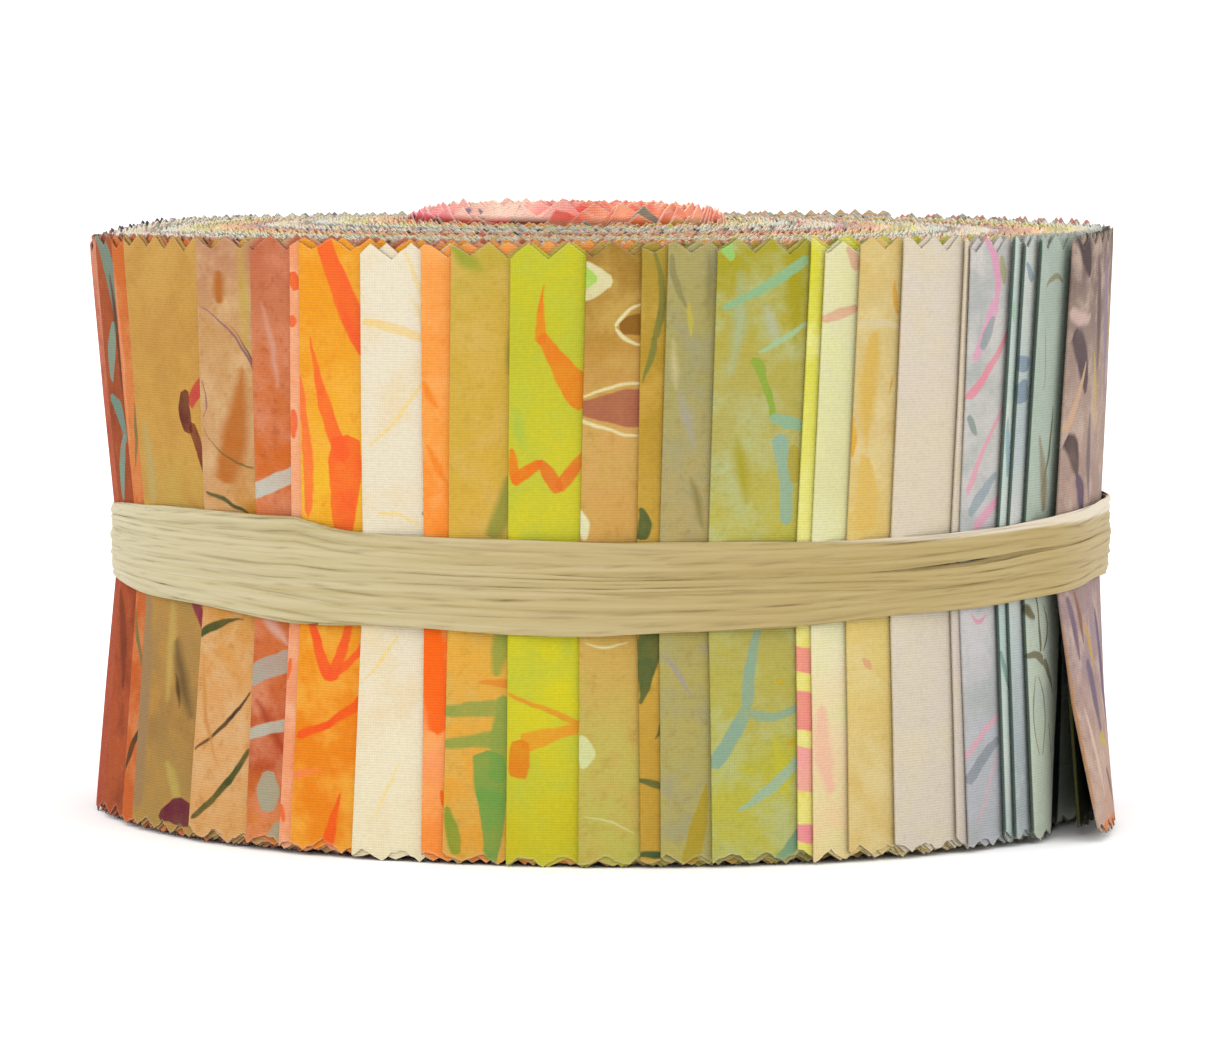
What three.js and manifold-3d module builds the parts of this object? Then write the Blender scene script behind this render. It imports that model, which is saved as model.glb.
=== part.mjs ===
// A quilter's strip roll: long strips of dyed cotton, each folded in half and pinked along both edges, laid one on
// another a little out of step, wound up together into a drum and tied round the waist with raffia.
//
// Millimetres, +Z up, origin in the middle of the base. Angles run anticlockwise seen from above, from +X.
// Going anticlockwise, each strip starts with its fold, lies over the one before it and goes in under the next.
import * as THREE from 'three';
import { mergeVertices } from 'three/addons/utils/BufferGeometryUtils.js';
import Module from 'manifold-3d';

const wasm = await Module();
wasm.setup();

// The strips and the drum they make.
const STRIP_WIDTH = 63.5; // a strip cut two and a half inches wide, from tooth tip to tooth tip
const ROLL_RADIUS = 55.6;
const FOLDED_THICKNESS = 0.41; // both layers of a folded strip, pressed
const TOOTH_PITCH = 4.0;
const TOOTH_DEPTH = 1.5;
const FIRST_FOLD_DEG = 192; // where the first strip of the table below has its fold
const SETTLING_DEG = 8; // how far round a fold the layers over it take to settle

// How much of each strip shows on the wall before the next one covers it, from the left of the front to the right.
const FRONT_STRIPS = [
  { strip: 'rust_edge', reveal: 4.3 },
  { strip: 'teal_leaf', reveal: 3.9 },
  { strip: 'burnt_orange', reveal: 6.8 },
  { strip: 'ochre', reveal: 12.3 },
  { strip: 'tan_vine', reveal: 8.3 },
  { strip: 'rust_pebble', reveal: 5.3 },
  { strip: 'peach', reveal: 1.2 },
  { strip: 'flame', reveal: 7.7 },
  { strip: 'cream_straw', reveal: 7.1 },
  { strip: 'tangerine', reveal: 3.0 },
  { strip: 'olive_gold', reveal: 6.3 },
  { strip: 'lime', reveal: 7.7 },
  { strip: 'amber_loop', reveal: 6.0 },
  { strip: 'gold_leaf', reveal: 2.5 },
  { strip: 'sage', reveal: 5.0 },
  { strip: 'lime_reed', reveal: 9.9 },
  { strip: 'lemon', reveal: 1.7 },
  { strip: 'pale_lemon', reveal: 3.7 },
  { strip: 'wheat', reveal: 5.6 },
  { strip: 'oat', reveal: 8.8 },
  { strip: 'oat_under', reveal: 0.9 },
  { strip: 'pink_cloud', reveal: 6.0 },
  { strip: 'mint', reveal: 2.7 },
  { strip: 'mint_sky', reveal: 3.1 },
  { strip: 'sea_petal', reveal: 6.4 },
  { strip: 'mauve_bark', reveal: 25.0 },
];
const BACK_STRIPS = 14; // the back shows these, all alike, and two more folds lie hidden under the loose end

// The waist that the tie pulls in: deeper on the left than on the right.
const WAIST_HEIGHT = 28.6;
const WAIST_DRAW = 1.6;
const WAIST_LEAN = 0.8; // added on the left, taken off on the right
const WAIST_REACH_UP = 35;
const WAIST_REACH_DOWN = 24;

// The two ends: the turns stand a little higher towards the middle, and the innermost ones have slid up.
const END_RADIUS = 53.4; // where the outermost row of teeth gives way to the end face
const END_DIP = 0.8; // the end face lies this far under the tooth tips
const RISE = 0.8;
const RISE_FROM = 44;
const RISE_TO = 22;
const CORE_LIFT = 2.4;
const CORE_RADIUS = 17.5;
const CORE_OFFSET = 4; // the lifted core lies this far left of the axis
const CORE_STEP = 0.9; // width of the step up to it
const SWIRL_PITCH = 5.8; // radial distance between the main turns that show on the end
const SWIRL_ARMS = 3;
const SWIRL_RELIEF = 0.3;
const END_COLUMNS = 60;

// The raffia tie.
const TIE_WIDTH = 9.6;
const TIE_NARROWING = 2.8; // on the left
const TIE_THICKNESS = 0.9;
const TIE_CREASE = 0.16;
const TIE_COLUMNS = 90;

// The last strip's end, whose lower corner stands away from the drum.
const LOOSE_STRIP = 'mauve_bark';
const LOOSE_THICKNESS = 1.0;
const LOOSE_FLARE = 3.6;
const LOOSE_FLARE_LENGTH = 25;
const LOOSE_FLARE_TOP = 23;
const POCKET_DEPTH = 2.6; // how far the drum's wall falls back behind that corner
const POCKET_LENGTH = 14;
const CLEARANCE = 0.3; // between touching pieces

const radians = THREE.MathUtils.degToRad;

// 0 at from, 1 at to, with soft ends, whichever of the two is larger.
function ease(x, from, to) {
  const t = THREE.MathUtils.clamp((x - from) / (to - from), 0, 1);
  return t * t * (3 - 2 * t);
}

// Every strip round the drum, with the angle of its fold.
function layOutStrips() {
  const girth = 2 * Math.PI * ROLL_RADIUS;
  const shown = FRONT_STRIPS.reduce((sum, row) => sum + row.reveal, 0);
  const back = Array.from({ length: BACK_STRIPS }, (_, i) => ({
    strip: `back_${i + 1}`,
    reveal: (girth - shown) / BACK_STRIPS,
  }));
  let at = radians(FIRST_FOLD_DEG);
  return [...FRONT_STRIPS, ...back].map((row) => {
    const laid = { ...row, fold: at, span: row.reveal / ROLL_RADIUS };
    at += laid.span;
    return laid;
  });
}

const STRIPS = layOutStrips();
const LOOSE_INDEX = STRIPS.findIndex((row) => row.strip === LOOSE_STRIP);

// How many folds lie between the first one and this angle, counted evenly across each strip's reveal.
function foldsPassed(angle) {
  const turns = Math.floor((angle - STRIPS[0].fold) / (2 * Math.PI));
  const within = angle - turns * 2 * Math.PI;
  const index = STRIPS.findLastIndex((row) => row.fold <= within);
  return turns * STRIPS.length + index + (within - STRIPS[index].fold) / STRIPS[index].span;
}

// The same count with the sudden changes of pace settled, as layers of cloth do.
function settledFolds(angle) {
  const samples = 9;
  let sum = 0;
  for (let i = 0; i < samples; i++) {
    sum += foldsPassed(angle + radians(SETTLING_DEG) * ((2 * i) / (samples - 1) - 1));
  }
  return sum / samples;
}

// How far the tie draws the wall in at this height and angle.
function waistDraw(angle, z) {
  const above = z > WAIST_HEIGHT;
  const share = Math.min(1, Math.abs(z - WAIST_HEIGHT) / (above ? WAIST_REACH_UP : WAIST_REACH_DOWN));
  return (WAIST_DRAW - WAIST_LEAN * Math.cos(angle)) * Math.cos((share * Math.PI) / 2) ** 2;
}

// The wall where strip number index is the one on top.
function shingledRadius(index, angle, z) {
  const proud = FOLDED_THICKNESS * (index + 0.5 - settledFolds(angle));
  return ROLL_RADIUS + proud - waistDraw(angle, z);
}

// What is left of a reach at this distance along it: 1 at its start, 0 from its end on.
const left = (along, reach) => Math.max(0, 1 - along / reach);

// The same, with the bed cut back that the loose strip's end lies in.
function wallRadius(index, angle, z) {
  if (index !== LOOSE_INDEX) return shingledRadius(index, angle, z);
  const along = (angle - STRIPS[index].fold) * ROLL_RADIUS;
  const pocket = POCKET_DEPTH * left(along, POCKET_LENGTH) * left(z, LOOSE_FLARE_TOP);
  return shingledRadius(index, angle, z) - LOOSE_THICKNESS - CLEARANCE - pocket;
}

// How far a pinked edge lies back from its tooth tips, at this distance from the strip's fold.
function toothDrop(index, along) {
  const phase = (index * 0.37) % 1;
  const t = (((along / TOOTH_PITCH + phase) % 1) + 1) % 1;
  return TOOTH_DEPTH * Math.abs(2 * t - 1);
}

// Distances from a strip's fold, over a length, at which its pinked edge turns: tips and notches.
function toothTurns(index, length) {
  const half = TOOTH_PITCH / 2;
  const phase = ((index * 0.37) % 1) * TOOTH_PITCH;
  const turns = [];
  for (let along = Math.ceil(phase / half) * half - phase; along < length; along += half) {
    if (along > half / 4 && along < length - half / 4) turns.push(along);
  }
  return [0, ...turns, length];
}

// A lathe blank whose points are moved to where place(column, row) says, with collapsed faces left out.
function shapedLathe(columns, rows, place) {
  const profile = Array.from({ length: rows }, (_, row) => new THREE.Vector2(1, row));
  const blank = new THREE.LatheGeometry(profile, columns);
  const points = blank.getAttribute('position');
  for (let column = 0; column <= columns; column++) {
    for (let row = 0; row < rows; row++) {
      const p = place(column, row);
      points.setXYZ(column * rows + row, p.x, p.y, p.z);
    }
  }
  return solidOf(blank);
}

// A closed geometry as a solid that can be joined and cut.
function solidOf(geometry) {
  const bare = new THREE.BufferGeometry().setAttribute('position', geometry.getAttribute('position'));
  bare.setIndex(geometry.getIndex());
  const merged = mergeVertices(bare, 1e-3);
  const index = merged.getIndex().array;
  const kept = [];
  for (let i = 0; i < index.length; i += 3) {
    const [a, b, c] = index.slice(i, i + 3);
    if (a !== b && b !== c && c !== a) kept.push(a, b, c);
  }
  const vertProperties = merged.getAttribute('position').array;
  return new wasm.Manifold(new wasm.Mesh({ numProp: 3, vertProperties, triVerts: Uint32Array.from(kept) }));
}

// A solid as a named mesh of one material.
function meshOf(name, solid, material) {
  const { vertProperties, triVerts } = solid.getMesh();
  const geometry = new THREE.BufferGeometry();
  geometry.setAttribute('position', new THREE.BufferAttribute(Float32Array.from(vertProperties), 3));
  geometry.setIndex(new THREE.BufferAttribute(Uint32Array.from(triVerts), 1));
  geometry.computeVertexNormals();
  const mesh = new THREE.Mesh(geometry, material);
  mesh.name = name;
  return mesh;
}

const polar = (radius, angle, z) => new THREE.Vector3(radius * Math.cos(angle), radius * Math.sin(angle), z);

// The edge of the lifted core, seen from the axis.
const coreEdge = (angle) => CORE_RADIUS - CORE_OFFSET * Math.cos(angle);

// The drum: shingled wall, drawn-in waist and pinked rims, with flat ends.
function drum() {
  const columns = STRIPS.flatMap((row, index) =>
    toothTurns(index, row.reveal).map((along) => ({ index, along, angle: row.fold + along / ROLL_RADIUS })),
  );
  const heights = [9, 19, WAIST_HEIGHT, 38, 50];
  const rows = heights.length + 6;
  return shapedLathe(columns.length, rows, (column, row) => {
    const { index, along, angle } = columns[column % columns.length];
    const drop = toothDrop(index, along);
    const top = rows - 1 - row;
    if (row === 0) return polar(0, 0, 0);
    if (row === 1) return polar(END_RADIUS, angle, 0);
    if (row === 2) return polar(wallRadius(index, angle, drop), angle, drop);
    if (top === 2) return polar(wallRadius(index, angle, STRIP_WIDTH), angle, STRIP_WIDTH - drop);
    if (top === 1) return polar(END_RADIUS, angle, STRIP_WIDTH - 2 * END_DIP);
    if (top === 0) return polar(0, 0, STRIP_WIDTH - 2 * END_DIP);
    return polar(wallRadius(index, angle, heights[row - 3]), angle, heights[row - 3]);
  });
}

// A disc of wound turns, buried in the drum up to its top. Its rings follow the turns in, so a ring meets the one
// further in after going round, and every other one stands proud.
function woundDisc(edge, skirt, height) {
  const ringGap = SWIRL_PITCH / 2;
  const shiftPerTurn = 2 * SWIRL_ARMS;
  const widest = Math.max(edge(0), edge(Math.PI));
  const rings = Math.ceil(widest / ringGap) + shiftPerTurn + 1;
  return shapedLathe(END_COLUMNS, rings + 2, (column, row) => {
    const angle = ((column % END_COLUMNS) / END_COLUMNS) * 2 * Math.PI;
    const rim = edge(angle);
    if (row === 0) return polar(0, 0, STRIP_WIDTH / 2);
    if (row === 1) return polar(rim + skirt, angle, STRIP_WIDTH / 2);
    const inward = row - 2 - (shiftPerTurn * column) / END_COLUMNS;
    const radius = THREE.MathUtils.clamp(rim - inward * ringGap, 0, rim);
    const faded = ease(radius, rim, rim - ringGap) * ease(radius, 0, ringGap);
    const swirl = SWIRL_RELIEF * Math.cos(Math.PI * inward) * faded;
    return polar(radius, angle, height(radius) + swirl);
  });
}

// The end face out to the last row of teeth: its turns stand a little higher towards the middle.
const END_TOP = STRIP_WIDTH - END_DIP;
const outerTurns = () => woundDisc(() => END_RADIUS, 0, (radius) => END_TOP + RISE * ease(radius, RISE_FROM, RISE_TO));

// The innermost turns, which have slid up.
const liftedCore = () => woundDisc(coreEdge, CORE_STEP, () => END_TOP + RISE + CORE_LIFT);

// What the slid-up turns leave empty underneath.
function hollowUnderCore() {
  const reaches = [
    { share: 0, z: -1 },
    { share: 1, z: -1 },
    { share: 1, z: 0 },
    { share: 0.9, z: CORE_LIFT + RISE },
    { share: 0, z: CORE_LIFT + RISE },
  ];
  return shapedLathe(END_COLUMNS, reaches.length, (column, row) => {
    const angle = ((column % END_COLUMNS) / END_COLUMNS) * 2 * Math.PI;
    return polar(reaches[row].share * (coreEdge(angle) + CORE_STEP), reaches[row].share ? angle : 0, reaches[row].z);
  });
}

// The loose end's outer face stands this far off the drum's wall, most at its lower corner.
function flare(along, z) {
  return LOOSE_FLARE * left(along, LOOSE_FLARE_LENGTH) ** 1.4 * left(z, LOOSE_FLARE_TOP) ** 1.2;
}

// The last strip's end, laid in its bed on the wall.
function looseEnd() {
  const row = STRIPS[LOOSE_INDEX];
  const length = row.reveal - 2 * CLEARANCE;
  const turns = toothTurns(LOOSE_INDEX, length);
  const heights = [4, 9, 14, 19, 23.5, WAIST_HEIGHT, 38, 50];
  const levels = heights.length + 2;
  const blank = new THREE.BoxGeometry(1, 1, 1, turns.length - 1, 1, levels - 1);
  const points = blank.getAttribute('position');
  for (let i = 0; i < points.count; i++) {
    const along = turns[Math.round((points.getX(i) + 0.5) * (turns.length - 1))];
    const level = Math.round((points.getZ(i) + 0.5) * (levels - 1));
    const drop = toothDrop(LOOSE_INDEX, along);
    const ends = { 0: drop, [levels - 1]: STRIP_WIDTH - drop };
    const z = ends[level] ?? heights[level - 1];
    const angle = row.fold + (CLEARANCE + along) / ROLL_RADIUS;
    const outer = shingledRadius(LOOSE_INDEX, angle, z) + flare(along, z);
    const p = polar(points.getY(i) < 0 ? outer : outer - LOOSE_THICKNESS, angle, z);
    points.setXYZ(i, p.x, p.y, p.z);
  }
  return solidOf(blank);
}

// The furthest out that the drum or the loose end reaches near this angle, at this height.
function reachNear(angle, z) {
  const step = Math.PI / TIE_COLUMNS;
  let most = 0;
  for (let i = -3; i <= 3; i++) {
    const near = angle + i * step;
    const count = foldsPassed(near);
    const index = ((Math.floor(count) % STRIPS.length) + STRIPS.length) % STRIPS.length;
    const unwound = STRIPS[index].fold + (count - Math.floor(count)) * STRIPS[index].span;
    most = Math.max(most, shingledRadius(index, unwound, z));
  }
  return most;
}

// The raffia: a flat creased band closed round the waist, narrower on the left.
function tie() {
  const section = [
    { across: 0.5, out: 0 },
    { across: 0, out: 0 },
    { across: -0.5, out: 0 },
    { across: -0.47, out: 0.5 },
    { across: -0.34, out: 1, crease: 1 },
    { across: -0.2, out: 1, crease: -1 },
    { across: -0.02, out: 1, crease: 1 },
    { across: 0.15, out: 1, crease: -1 },
    { across: 0.3, out: 1, crease: 1 },
    { across: 0.47, out: 0.5 },
    { across: 0.5, out: 0 },
  ];
  return shapedLathe(TIE_COLUMNS, section.length, (column, row) => {
    const angle = ((column % TIE_COLUMNS) / TIE_COLUMNS) * 2 * Math.PI;
    const { across, out, crease = 0 } = section[row];
    const width = TIE_WIDTH - TIE_NARROWING * ease(Math.cos(angle), 0, -1);
    const wander = 0.5 * Math.sin(2 * angle + 0.6) + 0.25 * Math.sin(5 * angle);
    const z = WAIST_HEIGHT + wander + across * width;
    const ridge = TIE_CREASE * crease * Math.cos(7 * angle + 2 * across);
    return polar(reachNear(angle, z) + CLEARANCE + TIE_THICKNESS * out + ridge, angle, z);
  });
}

const cotton = new THREE.MeshStandardMaterial({ color: '#cfa85a', roughness: 0.9, metalness: 0 });
const mauveCotton = new THREE.MeshStandardMaterial({ color: '#9a8288', roughness: 0.9, metalness: 0 });
const raffia = new THREE.MeshStandardMaterial({ color: '#cdbd86', roughness: 0.6, metalness: 0 });

const roll = new THREE.Group();
roll.add(meshOf('wound_strips', drum().add(outerTurns()).add(liftedCore()).subtract(hollowUnderCore()), cotton));
roll.add(meshOf('loose_end', looseEnd(), mauveCotton));
roll.add(meshOf('raffia_tie', tie(), raffia));

export default roll;
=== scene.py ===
import math

import bmesh
import bpy
import numpy as np
from mathutils import Color, Matrix


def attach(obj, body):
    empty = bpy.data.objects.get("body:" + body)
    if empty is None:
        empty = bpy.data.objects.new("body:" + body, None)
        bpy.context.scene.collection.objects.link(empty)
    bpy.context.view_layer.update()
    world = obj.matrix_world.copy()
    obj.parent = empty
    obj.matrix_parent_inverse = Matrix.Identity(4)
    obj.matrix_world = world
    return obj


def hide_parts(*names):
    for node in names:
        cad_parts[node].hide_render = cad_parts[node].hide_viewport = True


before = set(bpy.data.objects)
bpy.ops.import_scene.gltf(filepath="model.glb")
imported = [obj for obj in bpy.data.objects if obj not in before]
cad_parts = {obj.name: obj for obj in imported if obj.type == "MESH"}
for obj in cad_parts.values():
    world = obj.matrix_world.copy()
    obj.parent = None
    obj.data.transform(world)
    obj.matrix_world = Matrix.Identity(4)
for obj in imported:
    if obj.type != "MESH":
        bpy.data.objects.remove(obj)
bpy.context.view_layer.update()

bl_info = {
    "name": "Pinked Strip Roll",
    "version": (1, 0, 0),
    "blender": (4, 5, 0),
    "location": "View3D > Sidebar > Strip Roll",
    "description": "Winds folded, pinked batik strips into a drum, ties it with raffia and lights it",
    "category": "Object",
}

MM = 0.001

# Angles are in degrees round the roll's axis. A bearing is 0 at the front, and grows to the right.
# Lengths are in millimetres until a mesh is made.
STRIP = 63.5  # a strip's width
ROLL_SEED = 11
RAFFIA_SEED = 5

# The strips in the order in which they are laid. bearing: where the fold lies at the top. lean: how much
# further round it lies at the bottom. lift: how far the fold stands off the strip beside it. rise: how far it
# has slid up.
STRIPS = (
    # name, bearing, lean, lift, rise
    ("coral", -84.0, 0.0, 0.18, 0.1),
    ("teal_leaf", -77.5, 0.5, 0.18, 0.3),
    ("burnt_orange", -69.6, 1.5, 0.18, 0.2),
    ("ochre", -65.1, 1.0, 0.20, 0.3),
    ("tan_vine", -49.05, -1.55, 0.20, 0.4),
    ("rust_pebble", -40.5, -0.25, 0.20, 0.8),
    ("peach", -35.1, -1.0, 0.18, 0.2),
    ("flame", -33.7, -0.6, 0.24, 0.4),
    ("cream_straw", -26.2, -0.5, 0.30, 0.0),
    ("tangerine", -19.3, 0.75, 0.20, 0.3),
    ("olive_gold", -15.95, -0.15, 0.24, 0.0),
    ("lime", -9.55, 0.45, 0.30, 0.0),
    ("amber_loop", -1.6, 0.2, 0.24, 0.2),
    ("gold_leaf", 4.2, 1.0, 0.20, 0.1),
    ("sage", 6.9, 0.4, 0.24, 0.1),
    ("lime_reed", 12.1, 0.7, 0.32, 0.4),
    ("lemon", 22.5, -0.1, 0.24, 0.6),
    ("pale_lemon", 24.0, 0.1, 0.30, 0.1),
    ("wheat", 28.2, 0.2, 0.32, 0.5),
    ("oat", 33.6, 0.7, 0.34, 0.5),
    ("oat_under", 42.3, 1.0, 0.30, 0.3),
    ("pink_cloud", 42.8, 2.0, 0.34, 0.5),
    ("mint", 49.8, 1.2, 0.42, 0.3),
    ("mint_sky", 51.5, 1.2, 0.38, 0.5),
    ("sea_petal", 54.3, 1.6, 0.46, 0.5),
    ("olive_slip", 66.0, 0.0, 0.0, 0.0),
    ("straw_slip", 69.0, 0.0, 0.0, 0.1),
    ("mauve_bark", 72.5, 1.0, 0.00, 0.3),
    ("plum_fern", 93.5, 0.5, 0.24, 0.1),
    ("blush", 105.0, -0.5, 0.24, 0.5),
    ("olive_moss", 117.5, 0.3, 0.20, 0.2),
    ("eucalyptus", 130.5, 0.6, 0.26, 0.4),
    ("apricot", 143.5, -0.4, 0.24, 0.6),
    ("moss_sprig", 157.0, 0.2, 0.20, 0.5),
    ("cream_bloom", 171.0, 0.4, 0.24, 0.1),
    ("dove", 185.0, -0.3, 0.24, 0.6),
    ("pale_moss", 199.0, 0.5, 0.20, 0.2),
    ("lilac_mist", 213.0, -0.2, 0.26, 0.3),
    ("magenta", 227.0, 0.4, 0.24, 0.1),
    ("ink_leaf", 241.0, 0.2, 0.20, 0.4),
    ("crimson_fern", 255.0, -0.4, 0.24, 0.2),
    ("umber", 268.5, 0.3, 0.20, 0.3),
)
LOOSE_STRIP = "mauve_bark"
# Its fold lies over two more folds, and its lower corner stands away. The others share in that.
LOOSE_BEARING = 60.6
FANNED_STRIPS = {"olive_slip": 0.3, "straw_slip": 0.6, "mauve_bark": 1.0}

# How strongly the tie's pull shows on the wall at each height.
WAIST = ((0.0, 0.28), (10.0, 0.5), (23.0, 0.85), (28.6, 1.0), (34.0, 0.97), (45.0, 0.5), (55.0, 0.15),
         (STRIP, 0.0))
# How far the outer turns are twisted round by the tie at each height, in degrees.
TWIST = ((0.0, -0.6), (22.0, -0.6), (32.0, -0.75), (40.0, -0.5), (60.0, 0.0))
# How much further the tie has dragged them round at its own height, by bearing.
DRAG = ((-80.0, 0.0), (-62.0, -0.5), (-50.0, -1.2), (-40.0, -1.2), (-35.0, -0.8), (-28.0, 0.0))
# How far the outer turns' top has sunk, by bearing.
SAG = ((-120.0, 0.2), (-92.0, 1.5), (-82.0, 1.25), (-66.0, 0.9), (-50.0, 0.65), (-34.0, 0.42), (-18.0, 0.4),
       (0.0, 0.0), (50.0, 0.0), (90.0, -0.35), (150.0, -0.35), (180.0, 0.2))
# Heights of the rows of points across a strip, between its two pinked edges.
CLOTH_ROWS = (2.2, 14.0, 29.0, 46.0, 61.3)
# The slid-up core: its radius at the front's left and right end.
CORE_RADIUS = 21.2
CORE_END = 12.8
# How high the loose end's flap stands away and how far along the strip, and where and how far the wall behind
# it falls back.
FLAP_HEIGHT = 25.0
FLAP_REACH = 36.0
HOLLOW_BEARING = 58.0
HOLLOW_DEPTH = 2.4


class RollSizes(bpy.types.PropertyGroup):
    """Sizes of the strips and of the roll that they make."""

    strip_width: bpy.props.FloatProperty(
        name="Strip width", description="Width of a strip, tooth tip to tooth tip",
        default=63.5 * MM, unit="LENGTH", precision=4)
    outer_radius: bpy.props.FloatProperty(
        name="Outer radius", description="Radius at which the outermost folds lie",
        default=55.3 * MM, unit="LENGTH", precision=4)
    eye_radius: bpy.props.FloatProperty(
        name="Eye radius", description="Radius of the hole left in the middle",
        default=4.9 * MM, unit="LENGTH", precision=4)
    turns: bpy.props.FloatProperty(
        name="Turns", description="How many times each folded strip goes round", default=3.0)
    cloth: bpy.props.FloatProperty(
        name="Cloth thickness", description="Thickness of one layer of cotton",
        default=0.17 * MM, unit="LENGTH", precision=5)
    tooth_pitch: bpy.props.FloatProperty(
        name="Tooth pitch", description="Distance between the teeth of the pinked edges",
        default=4.0 * MM, unit="LENGTH", precision=4)
    tooth_depth: bpy.props.FloatProperty(
        name="Tooth depth", description="Depth of the teeth of the pinked edges",
        default=1.5 * MM, unit="LENGTH", precision=4)
    waist: bpy.props.FloatProperty(
        name="Waist", description="How far the tie draws the wall in, at the front",
        default=2.1 * MM, unit="LENGTH", precision=4)
    waist_lean: bpy.props.FloatProperty(
        name="Waist lean", description="How much more it is drawn in on the left, and less on the right",
        default=1.0 * MM, unit="LENGTH", precision=4)
    core_lift: bpy.props.FloatProperty(
        name="Core lift", description="How far the innermost turns have slid up",
        default=2.4 * MM, unit="LENGTH", precision=4)
    flare: bpy.props.FloatProperty(
        name="Flare", description="How far the loose end's lower corner stands away",
        default=4.3 * MM, unit="LENGTH", precision=4)


class RaffiaSizes(bpy.types.PropertyGroup):
    """Size and colour of the raffia."""

    thickness: bpy.props.FloatProperty(
        name="Thickness", description="Thickness of one raffia strand",
        default=0.16 * MM, unit="LENGTH", precision=5)
    colour: bpy.props.StringProperty(
        name="Colour", description="The raffia's colour, as sRGB hex", default="#CABC8B")
    crease: bpy.props.StringProperty(
        name="Crease colour", description="The colour in its creases, as sRGB hex", default="#8E7A45")


class StudioSizes(bpy.types.PropertyGroup):
    """Where the camera stands, and how bright the light is."""

    distance: bpy.props.FloatProperty(
        name="Distance", description="From the camera to the roll's axis, over the floor",
        default=0.741, unit="LENGTH", precision=3)
    height: bpy.props.FloatProperty(
        name="Height", description="The camera's height over the floor",
        default=0.0837, unit="LENGTH", precision=4)
    lens: bpy.props.FloatProperty(
        name="Lens", description="Focal length on a 36 mm wide sensor, in millimetres", default=202.8)
    pitch: bpy.props.FloatProperty(
        name="Pitch", description="How far the camera looks down",
        default=math.radians(4.045), subtype="ANGLE")
    yaw: bpy.props.FloatProperty(
        name="Yaw", description="How far the camera looks to the right", default=0.00051, subtype="ANGLE")
    roll: bpy.props.FloatProperty(
        name="Roll", description="How far the camera is tipped", default=0.0079, subtype="ANGLE")
    sky: bpy.props.FloatProperty(
        name="Sky", description="Strength of the soft light from all round", default=1.5)
    key: bpy.props.FloatProperty(
        name="Key", description="Power of the large lamp at the front left, in watts", default=0.8)


def linear(colour):
    """A linear RGBA value from an sRGB hex string."""
    parts = [int(colour[i:i + 2], 16) / 255 for i in (1, 3, 5)]
    return (*Color(parts).from_srgb_to_scene_linear(), 1.0)


def node(tree, kind, inputs=None, **settings):
    """Adds a node, with its settings, and its inputs either linked to a socket or set to a value."""
    made = tree.nodes.new(kind)
    for name, value in settings.items():
        setattr(made, name, value)
    for name, value in (inputs or {}).items():
        if isinstance(value, bpy.types.NodeSocket):
            tree.links.new(value, made.inputs[name])
        else:
            made.inputs[name].default_value = value
    return made


def ease(value, start, end):
    """0 at start, 1 at end, with soft ends, whichever of the two is larger."""
    share = np.clip((value - start) / (end - start), 0.0, 1.0)
    return share * share * (3.0 - 2.0 * share)


def looked_up(rows, place):
    """The value at a height or bearing, from rows of it and the value."""
    places, values = zip(*rows)
    return np.interp(place, places, values)


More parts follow.
